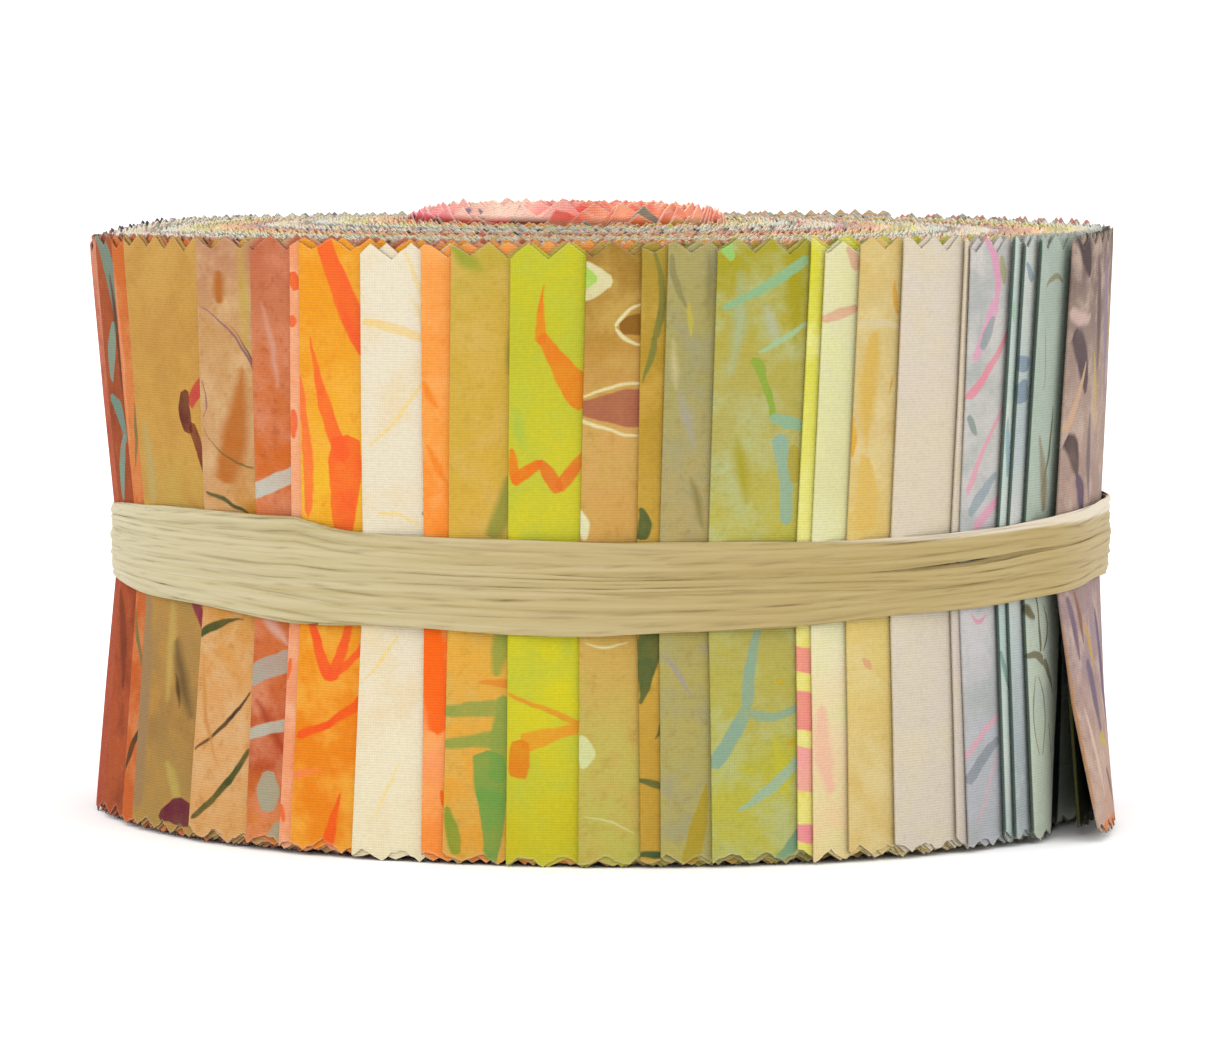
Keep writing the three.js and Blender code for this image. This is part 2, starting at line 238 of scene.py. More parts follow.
class Winding:
    """Where the strips lie in the roll, in millimetres and degrees."""

    STEP = 0.5
    SETTLING = 7.0

    def __init__(self, sizes):
        self.count = len(STRIPS)
        self.radius = sizes.outer_radius / MM
        self.eye = sizes.eye_radius / MM
        self.turns = sizes.turns
        self.width = sizes.strip_width / MM
        self.pitch = (self.radius - self.eye) / (self.turns * self.count)
        self.first = STRIPS[0][1]
        self.sizes = sizes
        folds = np.array([row[1] for row in STRIPS])
        rounds = np.arange(-1, math.ceil(self.turns) + 3)
        angles = (folds[None, :] + 360.0 * rounds[:, None]).ravel()
        passed = (np.arange(self.count)[None, :] + 0.5 + self.count * rounds[:, None]).ravel()
        self.grid = np.arange(self.first - 180.0, self.first + 360.0 * (self.turns + 2), self.STEP)
        sharp = np.interp(self.grid, angles, passed)
        window = np.hanning(2 * int(self.SETTLING / self.STEP) + 1)
        padded = np.pad(sharp, len(window) // 2, mode="edge")
        self.passed = np.convolve(padded, window / window.sum(), mode="valid")

    def depth_of(self, order, bearing):
        """How deep under the roll's outside a strip's middle lies at this bearing, which grows past 360."""
        return self.pitch * (np.interp(bearing, self.grid, self.passed) - order - 0.5)

    def path(self, order, start):
        """Bearing and radius along a strip, at even steps of bearing, with the length up to each."""
        bearing = np.arange(start, start + 360.0 * self.turns + 8.0, self.STEP)
        radius = self.radius - self.depth_of(order, bearing)
        step = np.radians(self.STEP) * (radius[1:] + radius[:-1]) / 2
        return bearing, radius, np.concatenate([[0.0], np.cumsum(step)])

    def settle(self, bearing, radius, height):
        """Moves points of the even roll to where the tie, the slid-up core and handling have brought them."""
        outward = np.clip((radius - self.eye) / (self.radius - self.eye), 0.0, 1.05)
        side = np.sin(np.radians(bearing))
        draw = self.sizes.waist / MM - self.sizes.waist_lean / MM * side
        radius = radius - draw * looked_up(WAIST, height) * outward
        round_shift = looked_up(TWIST, height) * outward
        # Handling has left the wall uneven by about 0.3 mm.
        wobble = 0.22 * np.sin(np.radians(3 * bearing) + 1.1) * np.sin(height / 19.0 + 0.4)
        wobble += 0.10 * np.sin(np.radians(7 * bearing) + 0.3) * np.cos(height / 11.0)
        radius = radius + wobble * outward
        facing = np.mod(bearing + 180.0, 360.0) - 180.0
        round_shift = round_shift + looked_up(DRAG, facing) * looked_up(WAIST, height) * outward
        sag = looked_up(SAG, facing)
        height = height - sag * outward ** 4 * ease(height, 10.0, STRIP)
        return bearing + round_shift, radius, height + self.rise(bearing, radius)

    def rise(self, bearing, radius):
        """How far the turns here have slid up: a little towards the middle, the core's front much more."""
        gentle = 0.6 * ease(radius, 44.0, 22.0)
        # The core's edge runs inwards with the turns across the front, and out again round the back. It is
        # sharp at the front and soft behind, where the core is lower too.
        turned = np.mod(bearing + 90.0, 360.0)
        front = CORE_RADIUS - (self.radius - self.eye) / self.turns * np.minimum(turned, 180.0) / 360.0
        back = ease(turned, 180.0, 360.0)
        edge = front + back * (CORE_RADIUS - CORE_END)
        softness = 0.35 + 5.0 * np.sin(np.radians(np.maximum(turned - 180.0, 0.0))) ** 2
        behind = -radius * np.cos(np.radians(bearing))
        lean = 1.0 - 0.7 * ease(behind, -15.0, 4.0)
        return gentle + self.sizes.core_lift / MM * lean * ease(radius, edge + softness, edge - softness)


def tooth_drop(along, pitch, depth, phase, seed, fray):
    """How far a pinked edge lies back from its tooth tips, at these lengths along the strip."""
    # No two teeth are quite as deep, and the threads at the cut are worn unevenly.
    at = along / pitch + phase
    share = np.abs(2.0 * np.mod(at, 1.0) - 1.0)
    uneven = 1.0 + 0.16 * np.sin(12.9898 * np.round(2 * at) + seed)
    worn = np.sin(7.8233 * along + seed) * np.sin(3.7719 * along + 2 * seed)
    return depth * share * uneven + np.abs(fray * worn)


def cloth_columns(pitch, length, half_gap, phase):
    """Lengths along the strip, from its middle fold, at which it gets a column of points."""
    half = pitch / 2
    teeth = (np.arange(-math.ceil(length / half) - 1, math.ceil(length / half) + 2) - 2 * phase) * half
    # Each tooth has two columns of points, and there are more near the fold and at the tight inner end.
    bend = half_gap * math.pi / 2
    fold = np.concatenate([np.linspace(-bend, bend, 7), [-1.2, -0.55, 0.55, 1.2]])
    teeth = teeth[(np.abs(teeth) < length - 0.3) & (np.abs(teeth) > 1.5)]
    tight = teeth[np.abs(teeth) > length - 90.0] + half / 2
    tight = tight[np.abs(tight) < length - 0.3]
    shown = teeth[(teeth > 0) & (teeth < 14.0)]
    frayed = np.concatenate([shown + half * share for share in (0.25, 0.5, 0.75)])
    return np.unique(np.round(np.concatenate([[-length, length], fold, teeth, tight, frayed]), 5))


def make_strip(sizes, winding, order, row, randoms):
    """One strip: folded once across, pinked along both edges and wound in with the others."""
    name, bearing, lean, lift, rise = row
    start = LOOSE_BEARING if name == LOOSE_STRIP else bearing
    line_bearing, line_radius, line_length = winding.path(order, start)
    length = float(np.interp(start + 360.0 * winding.turns, line_bearing, line_length))
    half_gap = winding.pitch / 4
    phase, seed = randoms.random(), 10 * randoms.random()
    pitch = sizes.tooth_pitch / MM * (0.9 + 0.022 * seed)
    columns = cloth_columns(pitch, length, half_gap, phase)
    heights = (0.0, *CLOTH_ROWS, winding.width)

    mesh, flat = grid(name, len(columns), len(heights))
    column = np.rint((flat[:, 0] + 1) / 2 * (len(columns) - 1)).astype(int)
    level = np.rint((flat[:, 1] + 1) / 2 * (len(heights) - 1)).astype(int)

    along = columns[column]
    away = np.abs(along)
    height = np.array(heights)[level]
    bottom, top = level == 0, level == len(heights) - 1
    # The teeth that the roll stands on are worn shorter than those on top, and are frayed more.
    depth = sizes.tooth_depth / MM
    low_edge = tooth_drop(along, pitch, 0.68 * depth, phase, seed, 0.34)
    high_edge = tooth_drop(along, pitch, depth, phase + 0.5, seed + 2, 0.12)
    height = height + np.where(bottom, low_edge, 0.0) - np.where(top, high_edge, 0.0)
    to_edge = np.minimum(height - low_edge, winding.width - height)
    to_edge = np.where(bottom | top, 0.0, np.maximum(to_edge, 0.6))
    flat_height = height

    # The two layers lie side by side from the fold on, and its bend lies before that. The outer layer puffs
    # out a little just past the bend.
    bend = half_gap * math.pi / 2
    turn = np.clip(along / half_gap, -math.pi / 2, math.pi / 2)
    from_fold = np.maximum(away - bend, 0.0) - half_gap * np.cos(turn) * (away < bend)
    past = np.maximum(from_fold, 0.0)
    puff = 0.16 * (past / 0.7) * np.exp(1.0 - past / 0.7)
    side = half_gap * np.sin(turn) + np.where(along > bend, puff, 0.0)

    # A leaning fold is further round at the bottom. The lean dies away along the strip.
    slant = lean * np.pi / 180 * winding.radius * (1.0 - height / 60.0) * np.exp(-away / 60.0)
    travelled = from_fold + slant
    place = np.interp(travelled, line_length, line_bearing)
    place = place + np.minimum(travelled, 0.0) / winding.radius * 180 / np.pi
    radius = np.interp(travelled, line_length, line_radius) + side

    # The fold stands off the strip beside it over the part that shows, and less where the tie presses.
    following = STRIPS[(order + 1) % len(STRIPS)][1] + (360.0 if order + 1 == len(STRIPS) else 0.0)
    shown = (following - bearing) * np.pi / 180 * winding.radius
    reach = min(0.85 * shown, 6.0)
    loose = np.clip(1.0 - past / reach, 0.0, 1.0) ** 2 if shown > 0 else 0.0
    pressed = 1.0 - 0.7 * looked_up(WAIST, height)
    radius = radius + lift * loose * pressed
    radius = radius + stand_off(sizes, winding, name, away, place, radius, height)

    # The edges waver up and down along the strip, most of all towards its inner end.
    inner = ease(away, length - 150.0, length - 60.0)
    waver = 0.13 * np.sin(along / 41.0 + seed) + 0.07 * np.sin(along / 17.0 + 3 * seed)
    waver = waver + 0.32 * inner * np.sin(along / 1.7 + 5 * seed) * np.sin(along / 4.3 + seed)
    place, radius, height = winding.settle(place, radius, height)
    if name in FANNED_STRIPS:
        low, close = (np.clip(1.0 - value / FLAP_HEIGHT, 0.0, 1.0) for value in (height, away))
        height = height + 0.6 * low * close
    near = np.exp(-away / 40.0)
    rise = rise * (0.2 + 0.8 * near)
    height = height + rise + np.maximum(waver * (0.4 + 0.6 * np.maximum(near, inner)), -rise)

    put_points(mesh, place, radius, height)
    put_uv(mesh, np.stack([along, flat_height], axis=1) / winding.width)
    put_values(mesh, "to_edge", to_edge)
    mesh.update()
    return thickened(name, mesh, sizes.cloth), length


def stand_off(sizes, winding, name, along, bearing, radius, height):
    """How the loose end's corner stands away at the bottom, and the wall behind it falls back."""
    up = np.clip(1.0 - height / FLAP_HEIGHT, 0.0, 1.0)
    flare = sizes.flare / MM
    if name in FANNED_STRIPS:
        share = FANNED_STRIPS[name]
        reach = np.clip(1.0 - along / FLAP_REACH, 0.0, 1.0) ** 1.3 * up ** 1.15
        slack = 0.35 * (1.0 - share) * np.clip(1.0 - along / 14.0, 0.0, 1.0)
        return (flare * share - slack) * reach
    turned = np.mod(bearing - HOLLOW_BEARING + 180.0, 360.0) - 180.0
    hollow = ease(turned, 0.0, 11.0) * ease(turned, 28.0, 12.0)
    outward = np.clip((radius - winding.eye) / (winding.radius - winding.eye), 0.0, 1.0)
    return -HOLLOW_DEPTH * hollow * up * outward


def grid(name, columns, rows):
    """A new mesh with so many points along and across, and where they lie, from -1 to 1."""
    mesh = bpy.data.meshes.new(name)
    shape = bmesh.new()
    bmesh.ops.create_grid(shape, x_segments=columns - 1, y_segments=rows - 1, size=1.0)
    shape.to_mesh(mesh)
    shape.free()
    flat = np.empty(len(mesh.vertices) * 3)
    mesh.vertices.foreach_get("co", flat)
    return mesh, flat.reshape(-1, 3)


def put_points(mesh, bearing, radius, height):
    """Moves the mesh's points to these places round the roll."""
    angle = np.radians(bearing - 90.0)
    points = np.stack([radius * np.cos(angle), radius * np.sin(angle), height], axis=1) * MM
    mesh.vertices.foreach_set("co", points.ravel())


def put_values(mesh, label, values):
    """Gives each point of the mesh a value for its material."""
    mesh.attributes.new(label, "FLOAT", "POINT").data.foreach_set("value", values.astype(np.float32))


def put_uv(mesh, places):
    """Gives each corner of the mesh its point's place on the flat cloth."""
    corners = np.empty(len(mesh.loops), dtype=int)
    mesh.loops.foreach_get("vertex_index", corners)
    mesh.uv_layers.new(name="cloth").data.foreach_set("uv", places[corners].astype(np.float32).ravel())


def thickened(name, mesh, thickness):
    """The sheet as an object with real thickness, smooth but for its cut edges."""
    made = bpy.data.objects.new(name, mesh)
    bpy.context.scene.collection.objects.link(made)
    wall = made.modifiers.new("Thickness", "SOLIDIFY")
    wall.thickness = thickness
    wall.offset = 0.0
    solid = bpy.data.meshes.new_from_object(made.evaluated_get(bpy.context.evaluated_depsgraph_get()))
    made.modifiers.clear()
    made.data = solid
    bpy.data.meshes.remove(mesh)
    solid.name = name
    solid.shade_smooth()
    solid.set_sharp_from_angle(angle=math.radians(50))
    return made


# Each fabric's dyes, as sRGB hex: those that follow one another up the strip, one that drifts through them in
# clouds, and one in small spots. The two slips' near-black dyes are painted shade.
FABRICS = {
    "coral": (("#B4502F", "#B4522F", "#C06040", "#D98F70"), "#A94A30", "#C86A50"),
    "teal_leaf": (("#B4562C", "#B04E24", "#A04A22", "#AE562A"), "#863A1A", "#C07040"),
    "burnt_orange": (("#CE6A30", "#C65C24", "#DA8448", "#CE6628"), "#DC9058", "#BC5620"),
    "ochre": (("#B2904E", "#A07A42", "#AA844A", "#C4A04E", "#CC9C4A", "#CA984A", "#CEA052"), "#C08E44",
        "#B88A40"),
    "tan_vine": (("#DAA562", "#DCA468", "#D89C54", "#C4862E", "#CFA070", "#C99A62", "#C08A66"), "#DCB684",
        "#B87028"),
    "rust_pebble": (("#DC8430", "#B9502A", "#D0703C", "#D46C2C", "#D06A28", "#C87850", "#C46E4C"),
        "#DC8E6A", "#A2441C"),
    "peach": (("#F0A070", "#EE9C70", "#F2AC80", "#F0A070"), "#F6BE98", "#F08850"),
    "flame": (("#EC8A20", "#EC841A", "#EE9A24", "#F2BA30", "#EFA22A", "#EE9A24"), "#F4B242", "#EA7E18"),
    "cream_straw": (("#EFE4BE", "#EDE2C6", "#E8DCC0", "#EADFC6", "#EBE0C6"), "#EBD6AC", "#EEE2C6"),
    "tangerine": (("#F9923E", "#FAA066", "#FB6E14", "#FA8A2C", "#F79E40", "#F79E4A", "#F7A252"), "#FBAE60",
        "#F2882C"),
    "olive_gold": (("#E4A038", "#E8A63C", "#E4AC46", "#D8AC42", "#D2AC42", "#D0AC44", "#C2AA42"), "#D8B25C",
        "#B89232"),
    "lime": (("#CABC28", "#D3C82C", "#D6CC24", "#CEC632", "#C0BE34", "#C8C22C"), "#BCC240", "#D2C820"),
    "amber_loop": (("#BEB856", "#C2B65A", "#CCA856", "#D09E52", "#D2A45E", "#BC8E40", "#856520"), "#CBA858",
        "#B08636"),
    "gold_leaf": (("#BE9838", "#C49A3C", "#C8A040", "#C09A3C", "#B8902E", "#A8923C"), "#CFA64A", "#A8862E"),
    "sage": (("#B8AC5C", "#B2A662", "#B4A65C", "#B6A268", "#AEA268", "#AAA05E", "#AEA266"), "#A09C7C",
        "#948448"),
    "lime_reed": (("#BEB84C", "#BAB440", "#B6AA58", "#BEB448", "#B6AA5C", "#B6A848", "#ACA028"), "#B9C088",
        "#9C9C3C"),
    "lemon": (("#E8DC6C", "#E6D860", "#EADC78", "#E4E07C", "#DCD64C", "#D8D23C"), "#EEE89C", "#D8D23C"),
    "pale_lemon": (("#ECCE96", "#EED2A4", "#EAE0B8", "#E4E2B4", "#DCD8A0", "#DEDCAC", "#E4DCB0"), "#E2E0A0",
        "#E6DCA4"),
    "wheat": (("#DCC07A", "#DABE76", "#DEC678", "#DDBE6C", "#D8BC7C", "#D6BE80", "#D9BA6C"), "#E2CE94",
        "#D2B060"),
    "oat": (("#DACEBC", "#D8CCBA", "#DCD0BA", "#DCCEB6", "#DCCEBC", "#DDD1BF"), "#DED0B2", "#CCBEA8"),
    "oat_under": (("#D6CABC", "#D4C8BC", "#DCCEBA", "#E0D0B6"), "#D8C8AC", "#CDBDA2"),
    "pink_cloud": (("#B4B6BC", "#B8B8BE", "#CCC8C6", "#C6C2C4", "#CCC8C2", "#CCC8C2", "#D4CEC9"), "#A9AEAA",
        "#B4B2AA"),
    "mint": (("#BCC4BE", "#CCD4CA", "#B2C4BA", "#C6D2C8", "#D0D8CC", "#C0CEC6", "#CCD4CA"), "#B4CAC4",
        "#BCCCBC"),
    "mint_sky": (("#A8AEAE", "#A8B0B2", "#B8BEBC", "#D6D4CA", "#B0BCBC", "#C8CCC2", "#CDD0C6"), "#B8C4C2",
        "#C8CCC4"),
    "sea_petal": (("#BCC6B2", "#BEC8B4", "#BAC2B0", "#A2AC9C", "#AEBCAC", "#AEBBAC", "#AAB8AA"), "#B6C2B4",
        "#A4B09E"),
    # The two slips are near black all over: painted shade of the dark gap under the loose end, where they
    # lie.
    "olive_slip": (("#20241A", "#262A1C", "#3A3C2C"), "#30321E", "#1A1E14"),
    "straw_slip": (("#24261A", "#2A2A1C", "#303020"), "#383420", "#1C1E14"),
    "mauve_bark": (("#C9A48E", "#B4968A", "#A48C8E", "#A88C80", "#B09688", "#9A8478", "#7C6860"), "#CDB4A4",
        "#8A7470"),
    "plum_fern": (("#6A4A5C", "#5C3E54", "#74506A"), "#8A6A84", "#4A3044"),
    "cream_bloom": (("#E6D8B0", "#DECE9C", "#EADEBC"), "#E8CF94", "#D2BE88"),
    "apricot": (("#E6BE90", "#DEB080", "#ECCAA0"), "#F0D4B4", "#CC8A44"),
    "moss_sprig": (("#C4BE84", "#B8B276", "#CEC894"), "#D8D4AC", "#A09A5C"),
    "dove": (("#CACAC2", "#C2C2BA", "#D2D2C8"), "#DCDACC", "#B0B0A6"),
    "eucalyptus": (("#BCC8BA", "#B0BEB0", "#C6D0C2"), "#D2DCCE", "#9CAE9C"),
    "olive_moss": (("#C0BA90", "#C8C29C", "#B4AE82"), "#D6D0B0", "#9E986A"),
    "pale_moss": (("#D6D2A2", "#CEC890", "#DEDAB4"), "#E4DCA8", "#BEB680"),
    "lilac_mist": (("#A094B4", "#AC9EBC", "#94889E"), "#C0B4CC", "#8678A0"),
    "ink_leaf": (("#34303A", "#2A2630", "#403A46"), "#4E4A5C", "#1C1C26"),
    "crimson_fern": (("#BE3430", "#B02C2C", "#CC4638"), "#DA6A4C", "#8A1C26"),
    "umber": (("#5E3424", "#4E2A20", "#6E3E28"), "#8A5030", "#361C18"),
    "magenta": (("#C84A78", "#BC3E6A", "#D46088"), "#E090AC", "#9C2858"),
    "blush": (("#F0A898", "#F2B0A0", "#EC9C8C"), "#F8C8B8", "#E08474"),
}
# The colour painted along some folds. On mint, mint_sky and sea_petal it is a dark band of painted shade, for
# the slit under the next strip's fold. On the two slips, whose cloth is painted dark as the shade of the gap,
# it is a lighter band of painted light, where their fold edges catch the light.
FOLD_SHADING = {"mint": "#284438", "mint_sky": "#2A4638", "sea_petal": "#223C30", "olive_slip": "#5E5C34",
         "straw_slip": "#A8964E"}
# How often the designs at the back repeat, in mm along and mm up. Those at the front repeat every
# FRONT_TILE, so that each shows once.
TILES = {"plum_fern": (15, 21), "cream_bloom": (14, 16), "apricot": (14, 18), "moss_sprig": (12, 17),
         "dove": (16, 16), "eucalyptus": (14, 20), "olive_moss": (15, 18), "pale_moss": (15, 19),
         "lilac_mist": (12, 12), "ink_leaf": (14, 18), "crimson_fern": (14, 19), "umber": (13, 16),
         "magenta": (13, 14), "blush": (13, 17)}
FRONT_TILE = (45.0, 80.0)
FRONT_START = (-6.0, -8.0, 0)
# What is stamped or drawn on them, and a few marks of painted shade, in mm from the fold and from the bottom.
# The last number, how far the edge takes to fade, is MARK_FADE where it isn't given.
MARK_FADE = 0.25
MARKS = {
    # colour, along and up at its start, the same at its end, bow, half width at its start, middle, end, fade
    "teal_leaf": (
        ("#6F9080", 1, 64, 6.2, 52, 1.6, 1.2, 2.2, 0.6),
        ("#7E9C88", 5.4, 54, 2.6, 47, -0.8, 0.8, 1.8, 0.5),
        ("#5E3018", 4.4, 60, 6.4, 44, 0.6, 0.6, 1.4, 0.6, 0.8),
        ("#6F9080", 1.4, 46, 6.2, 40.5, 0.9, 0.6, 1.8, 0.4),
        ("#7E9C88", 5.9, 42, 2.6, 34, -0.8, 0.4, 1.6, 0.5),
        ("#7A3216", 0.6, 25, 4.8, 13, 0.8, 0.8, 2.2, 0.6, 1),
    ),
    "burnt_orange": (
        ("#7C7444", 0.2, 24.5, 3.4, 16.5, -0.4, 0.3, 0.5, 0.4),
        ("#4A3A1E", 0.3, 5, 3.6, 10.5, 0.4, 0.2, 0.8, 0.3),
        ("#7A7440", 3, 46, 1.6, 38, 0.3, 0.2, 0.6, 0.2),
        ("#E89A70", 0.6, 60, 0.9, 40, 0.2, 0.4, 0.8, 0.4, 0.8),
    ),
    "ochre": (
        ("#BBA464", 2, 44, 2.6, 34, 0.3, 1.2, 1.8, 1.6, 1.6),
        ("#D8504A", 16.3, 56.2, 16, 48.4, -0.2, 0.3, 0.8, 1),
        ("#C43B3B", 16.4, 48.6, 12.2, 45.6, -0.4, 1.2, 0.9, 1),
        ("#5E1620", 11.6, 47.4, 12, 42.4, -0.6, 0.9, 1.4, 1),
        ("#6E1A22", 12.1, 44.2, 16.3, 33, 0.4, 1.1, 0.55, 0.9),
        ("#8E2F45", 10.4, 26, 16.4, 18.8, 0.3, 0.8, 0.8, 0.6),
        # A tan band along the fold, from the bottom up to 26 mm: painted shading of the fold's edge.
        ("#A08058", 0.4, 26, 1.2, 1, 0.3, 2.2, 2, 1.8, 1),
        ("#C2A256", 7, 25, 6.6, 13, 0.4, 1.4, 1.8, 1, 1.4),
        ("#6A5230", 8, 21, 12.6, 12, -0.4, 1.6, 2.4, 1.4, 2.2),
        ("#4E3A1C", 8.2, 17, 9.8, 13, 0.2, 0.3, 1.1, 0.3, 0.8),
        ("#BCA454", 7, 7.6, 10.4, 2.4, 0.6, 1, 1.8, 1, 1.2),
        ("#6A2234", 6, 1.6, 15.6, 1.4, 0.9, 0.5, 2.1, 0.7),
    ),
    "tan_vine": (
        ("#C4A648", 6.4, 64, 7.2, 50, 0, 1, 1.6, 0.8, 1.8),
        ("#B5651C", 3.3, 60, 3.4, 56.4, 0, 1, 1.3, 1, 1),
        ("#B9661A", 6.6, 50.5, 3.4, 37, 0.6, 1, 3, 2.8, 1.8),
        ("#3E4A2A", 0.4, 36.4, 7.6, 34.2, 0.3, 0.3, 0.4, 0.3),
        ("#8A5A6E", 0.2, 56.2, 8.5, 49, 1.1, 0.18, 0.26, 0.34),
        ("#6A4E3C", 4.6, 54.4, 8.6, 49, 0.5, 0.12, 0.22, 0.34),
        ("#7E4E6A", 0, 48.6, 0.3, 44, 1.2, 0.15, 0.25, 0.15),
        ("#5A5A2C", 0.2, 44, 8.6, 39.2, -1.3, 0.15, 0.2, 0.28),
        ("#3E4A1E", -0.3, 21, 7.4, 23.2, 0.5, 0.7, 0.55, 0.1),
        ("#46301E", -0.2, 9, 8.8, 16.2, -0.7, 0.25, 0.42, 0.28),
        ("#3E4A1C", 0.2, 1.8, 8.9, 10.2, -0.7, 0.45, 0.58, 0.45),
        ("#C88A48", 1, 20, 4.6, 7, -1, 0.3, 0.7, 0.3, 0.6),
    ),
    "rust_pebble": (
        ("#D69A80", 1.2, 57, 3.2, 47, 0.4, 0.4, 0.9, 0.5, 0.8),
        ("#DDAA94", 0.8, 24, 4.8, 20.6, 0, 0.8, 1.1, 0.6, 0.9),
        ("#A63C1C", 0.6, 15.2, 5.2, 8.6, 0, 0.6, 1.4, 0.6, 1.2),
        ("#C4C2B2", -1, 36, 6.2, 39.2, 0, 1, 1, 1),
        ("#ABA596", -1, 16.8, 6.4, 19.6, 0.2, 1.3, 1.2, 1.4),
        ("#B8B6A2", -1, 10.8, 6.4, 12.6, 0.3, 0.8, 0.75, 0.8),
        ("#A8A387", 2.6, 7.8, 2.9, 3.2, 0, 0.7, 1.9, 0.7),
        ("#A8A387", 4.4, 2.6, 3.8, -0.8, 0, 0.6, 1.6, 0.6),
    ),
    "peach": (
        ("#F0642C", 0.2, 60, 0.9, 58, 0, 0.6, 0.9, 0.5),
        ("#F0642C", 0.2, 55.6, 0.5, 54.2, 0, 0.4, 0.6, 0.4),
        ("#F0642C", 0.3, 46, 0.6, 42.6, 0, 0.4, 0.7, 0.4),
        ("#F0642C", 0.5, 20, 0.2, 17.4, 0, 0.3, 0.5, 0.3),
        ("#F0642C", 0.1, 4.8, 0.6, 2.8, 0, 0.3, 0.6, 0.3),
    ),
    "flame": (
        ("#F0602C", 4.4, 58, 7.4, 51, -0.2, 0.6, 1.3, 0.6, 1.2),
        ("#F6602E", 2.4, 64.4, 8.2, 51, -0.3, 1.1, 1.3, 1.6),
        ("#F8692F", 1.1, 54.2, 5.2, 40, -0.5, 0.15, 0.75, 1.2),
        ("#F8622C", 5.2, 43.5, 4.8, 32, 0, 2, 2.1, 0.9),
        ("#F8743A", -0.2, 50, 0.9, 34, 0.5, 0.5, 0.7, 0.6),
        ("#F65A2A", 0.9, 26, 3.9, 17.4, -0.3, 0.5, 0.6, 1),
        ("#F65A2A", 5.9, 26, 3.8, 17.4, 0.3, 0.7, 0.55, 1),
        ("#F65A2A", 8.4, 23.4, 4.4, 18.2, 0.3, 0.7, 0.5, 0.6),
        ("#F4541E", 0, 11.6, 8.2, 16.4, -0.5, 0.7, 0.35, 1),
        ("#F4844A", -0.2, 7.6, 3.4, 8.4, 0, 0.8, 0.6, 0.3, 0.6),
        ("#F4541E", 5.6, 6.6, 3.8, -0.4, 0, 0.15, 0.7, 1.1),
    ),
    "cream_straw": (
        ("#EBD39A", 5.2, 58, 7.8, 53.6, 0.4, 0.3, 1, 1.2, 0.6),
        ("#F0D796", 4.4, 63, 7.3, 55, 0.3, 0.3, 0.35, 0.3),
        ("#F0D08C", 0, 55.4, 8, 53.4, 0.2, 0.5, 0.65, 0.6),
        ("#F1D590", 7.3, 50, 0.6, 42, 0.3, 0.3, 0.35, 0.25),
        ("#F1D590", 0, 17.6, 4.4, 23.6, -0.3, 0.25, 0.35, 0.3),
        ("#F3DC9C", 2.2, 4.2, 5.2, 10.6, 0, 0.25, 0.4, 0.2),
        ("#F1D590", 1.6, 35.6, 6.6, 34.6, 0.4, 0.3, 0.35, 0.3),
        ("#7A4A3C", 6.7, 35.9, 6.9, 35.5, 0, 0.1, 0.25, 0.1),
    ),
    "tangerine": (
        ("#F4882A", 0, 49.4, 1.8, 46.2, 0, 0.5, 0.8, 0.4, 0.6),
        ("#F4882A", 0.4, 43, 2.8, 38, 0, 0.5, 0.8, 0.4, 0.6),
        ("#FB6410", 0.2, 26, 1.6, 12.6, 0.3, 1.6, 2, 1.4, 0.8),
        ("#F06A10", 1.9, 7.4, 2.9, 5, 0, 0.3, 0.6, 0.3),
    ),
    "olive_gold": (
        ("#A0A238", 0, 63.2, 3.4, 60.4, 0, 0.8, 1.5, 0.6, 1),
        ("#8A8434", 6.6, 55.6, 6, 49.6, 0, 0.5, 1.1, 0.5, 1),
        ("#9A9640", 6.4, 40, 4.6, 33, 0.3, 0.8, 1.4, 1.5, 0.9),
        ("#8FA044", 6.2, 25, 5.2, 19, 0, 1.2, 1.5, 0.8, 0.8),
        ("#E08A30", 3.2, 18.6, 7.2, 18.4, 0, 0.2, 0.55, 0.6),
        ("#86A046", 6, 17.6, 5.7, 8, 0.2, 0.9, 1.6, 1.6, 0.5),
        ("#93A04A", -0.4, 15.4, 7.2, 15.8, 0.2, 0.9, 1, 1.2, 0.4),
        ("#8FA048", -0.4, 12, 7.2, 12.8, 0.2, 0.7, 0.9, 1.3, 0.4),
        ("#6F9E48", 4.4, 11.8, 5, -0.6, 0.4, 2.2, 1.7, 0.6),
        ("#8A9A34", 0.3, 6, 1.4, 0.6, 0.2, 0.6, 1, 0.7, 0.4),
    ),
    "lime": (
        ("#A8C048", 0.6, 47, 1.6, 42, 0, 0.6, 1.2, 0.6, 1.2),
        ("#E87E20", 3.5, 59.6, 3.3, 53, -0.35, 0.12, 0.5, 0.8),
        ("#E87820", 3, 54.6, 8.8, 47, -0.5, 0.7, 1.1, 2.5),
        ("#E87820", 0.3, 42.8, 0.9, 38.8, 0, 0.4, 0.65, 0.75),
        ("#E87820", 0.4, 38.9, 3.4, 41.4, 0, 0.7, 0.8, 0.6),
        ("#E4702A", 3, 41.6, 5.4, 38, 0, 0.6, 0.8, 0.9),
        ("#E4702A", 5, 38.2, 8.2, 42.4, 0, 0.9, 0.8, 0.6),
        ("#E0962C", -0.2, 17.6, 8, 14.4, 0.1, 0.35, 0.4, 0.5),
        ("#E59A2C", 8.4, 14.6, 1.2, 12.6, 0.2, 0.8, 0.7, 1.3),
        ("#E0801E", 1.4, 13, 1.2, 8.8, 0, 1.2, 1.2, 1.1),
    ),
    "amber_loop": (
        ("#DDD6A4", -2.4, 59.4, 2.9, 59.4, 0, 1.6, 2.6, 0.3),
        ("#A6CC54", -1.4, 59.8, 1.3, 59.6, 0, 1, 1.5, 0.3),
        ("#8A5A1C", 3.4, 54.6, 6.4, 55, 0.2, 0.9, 1.2, 1.4),
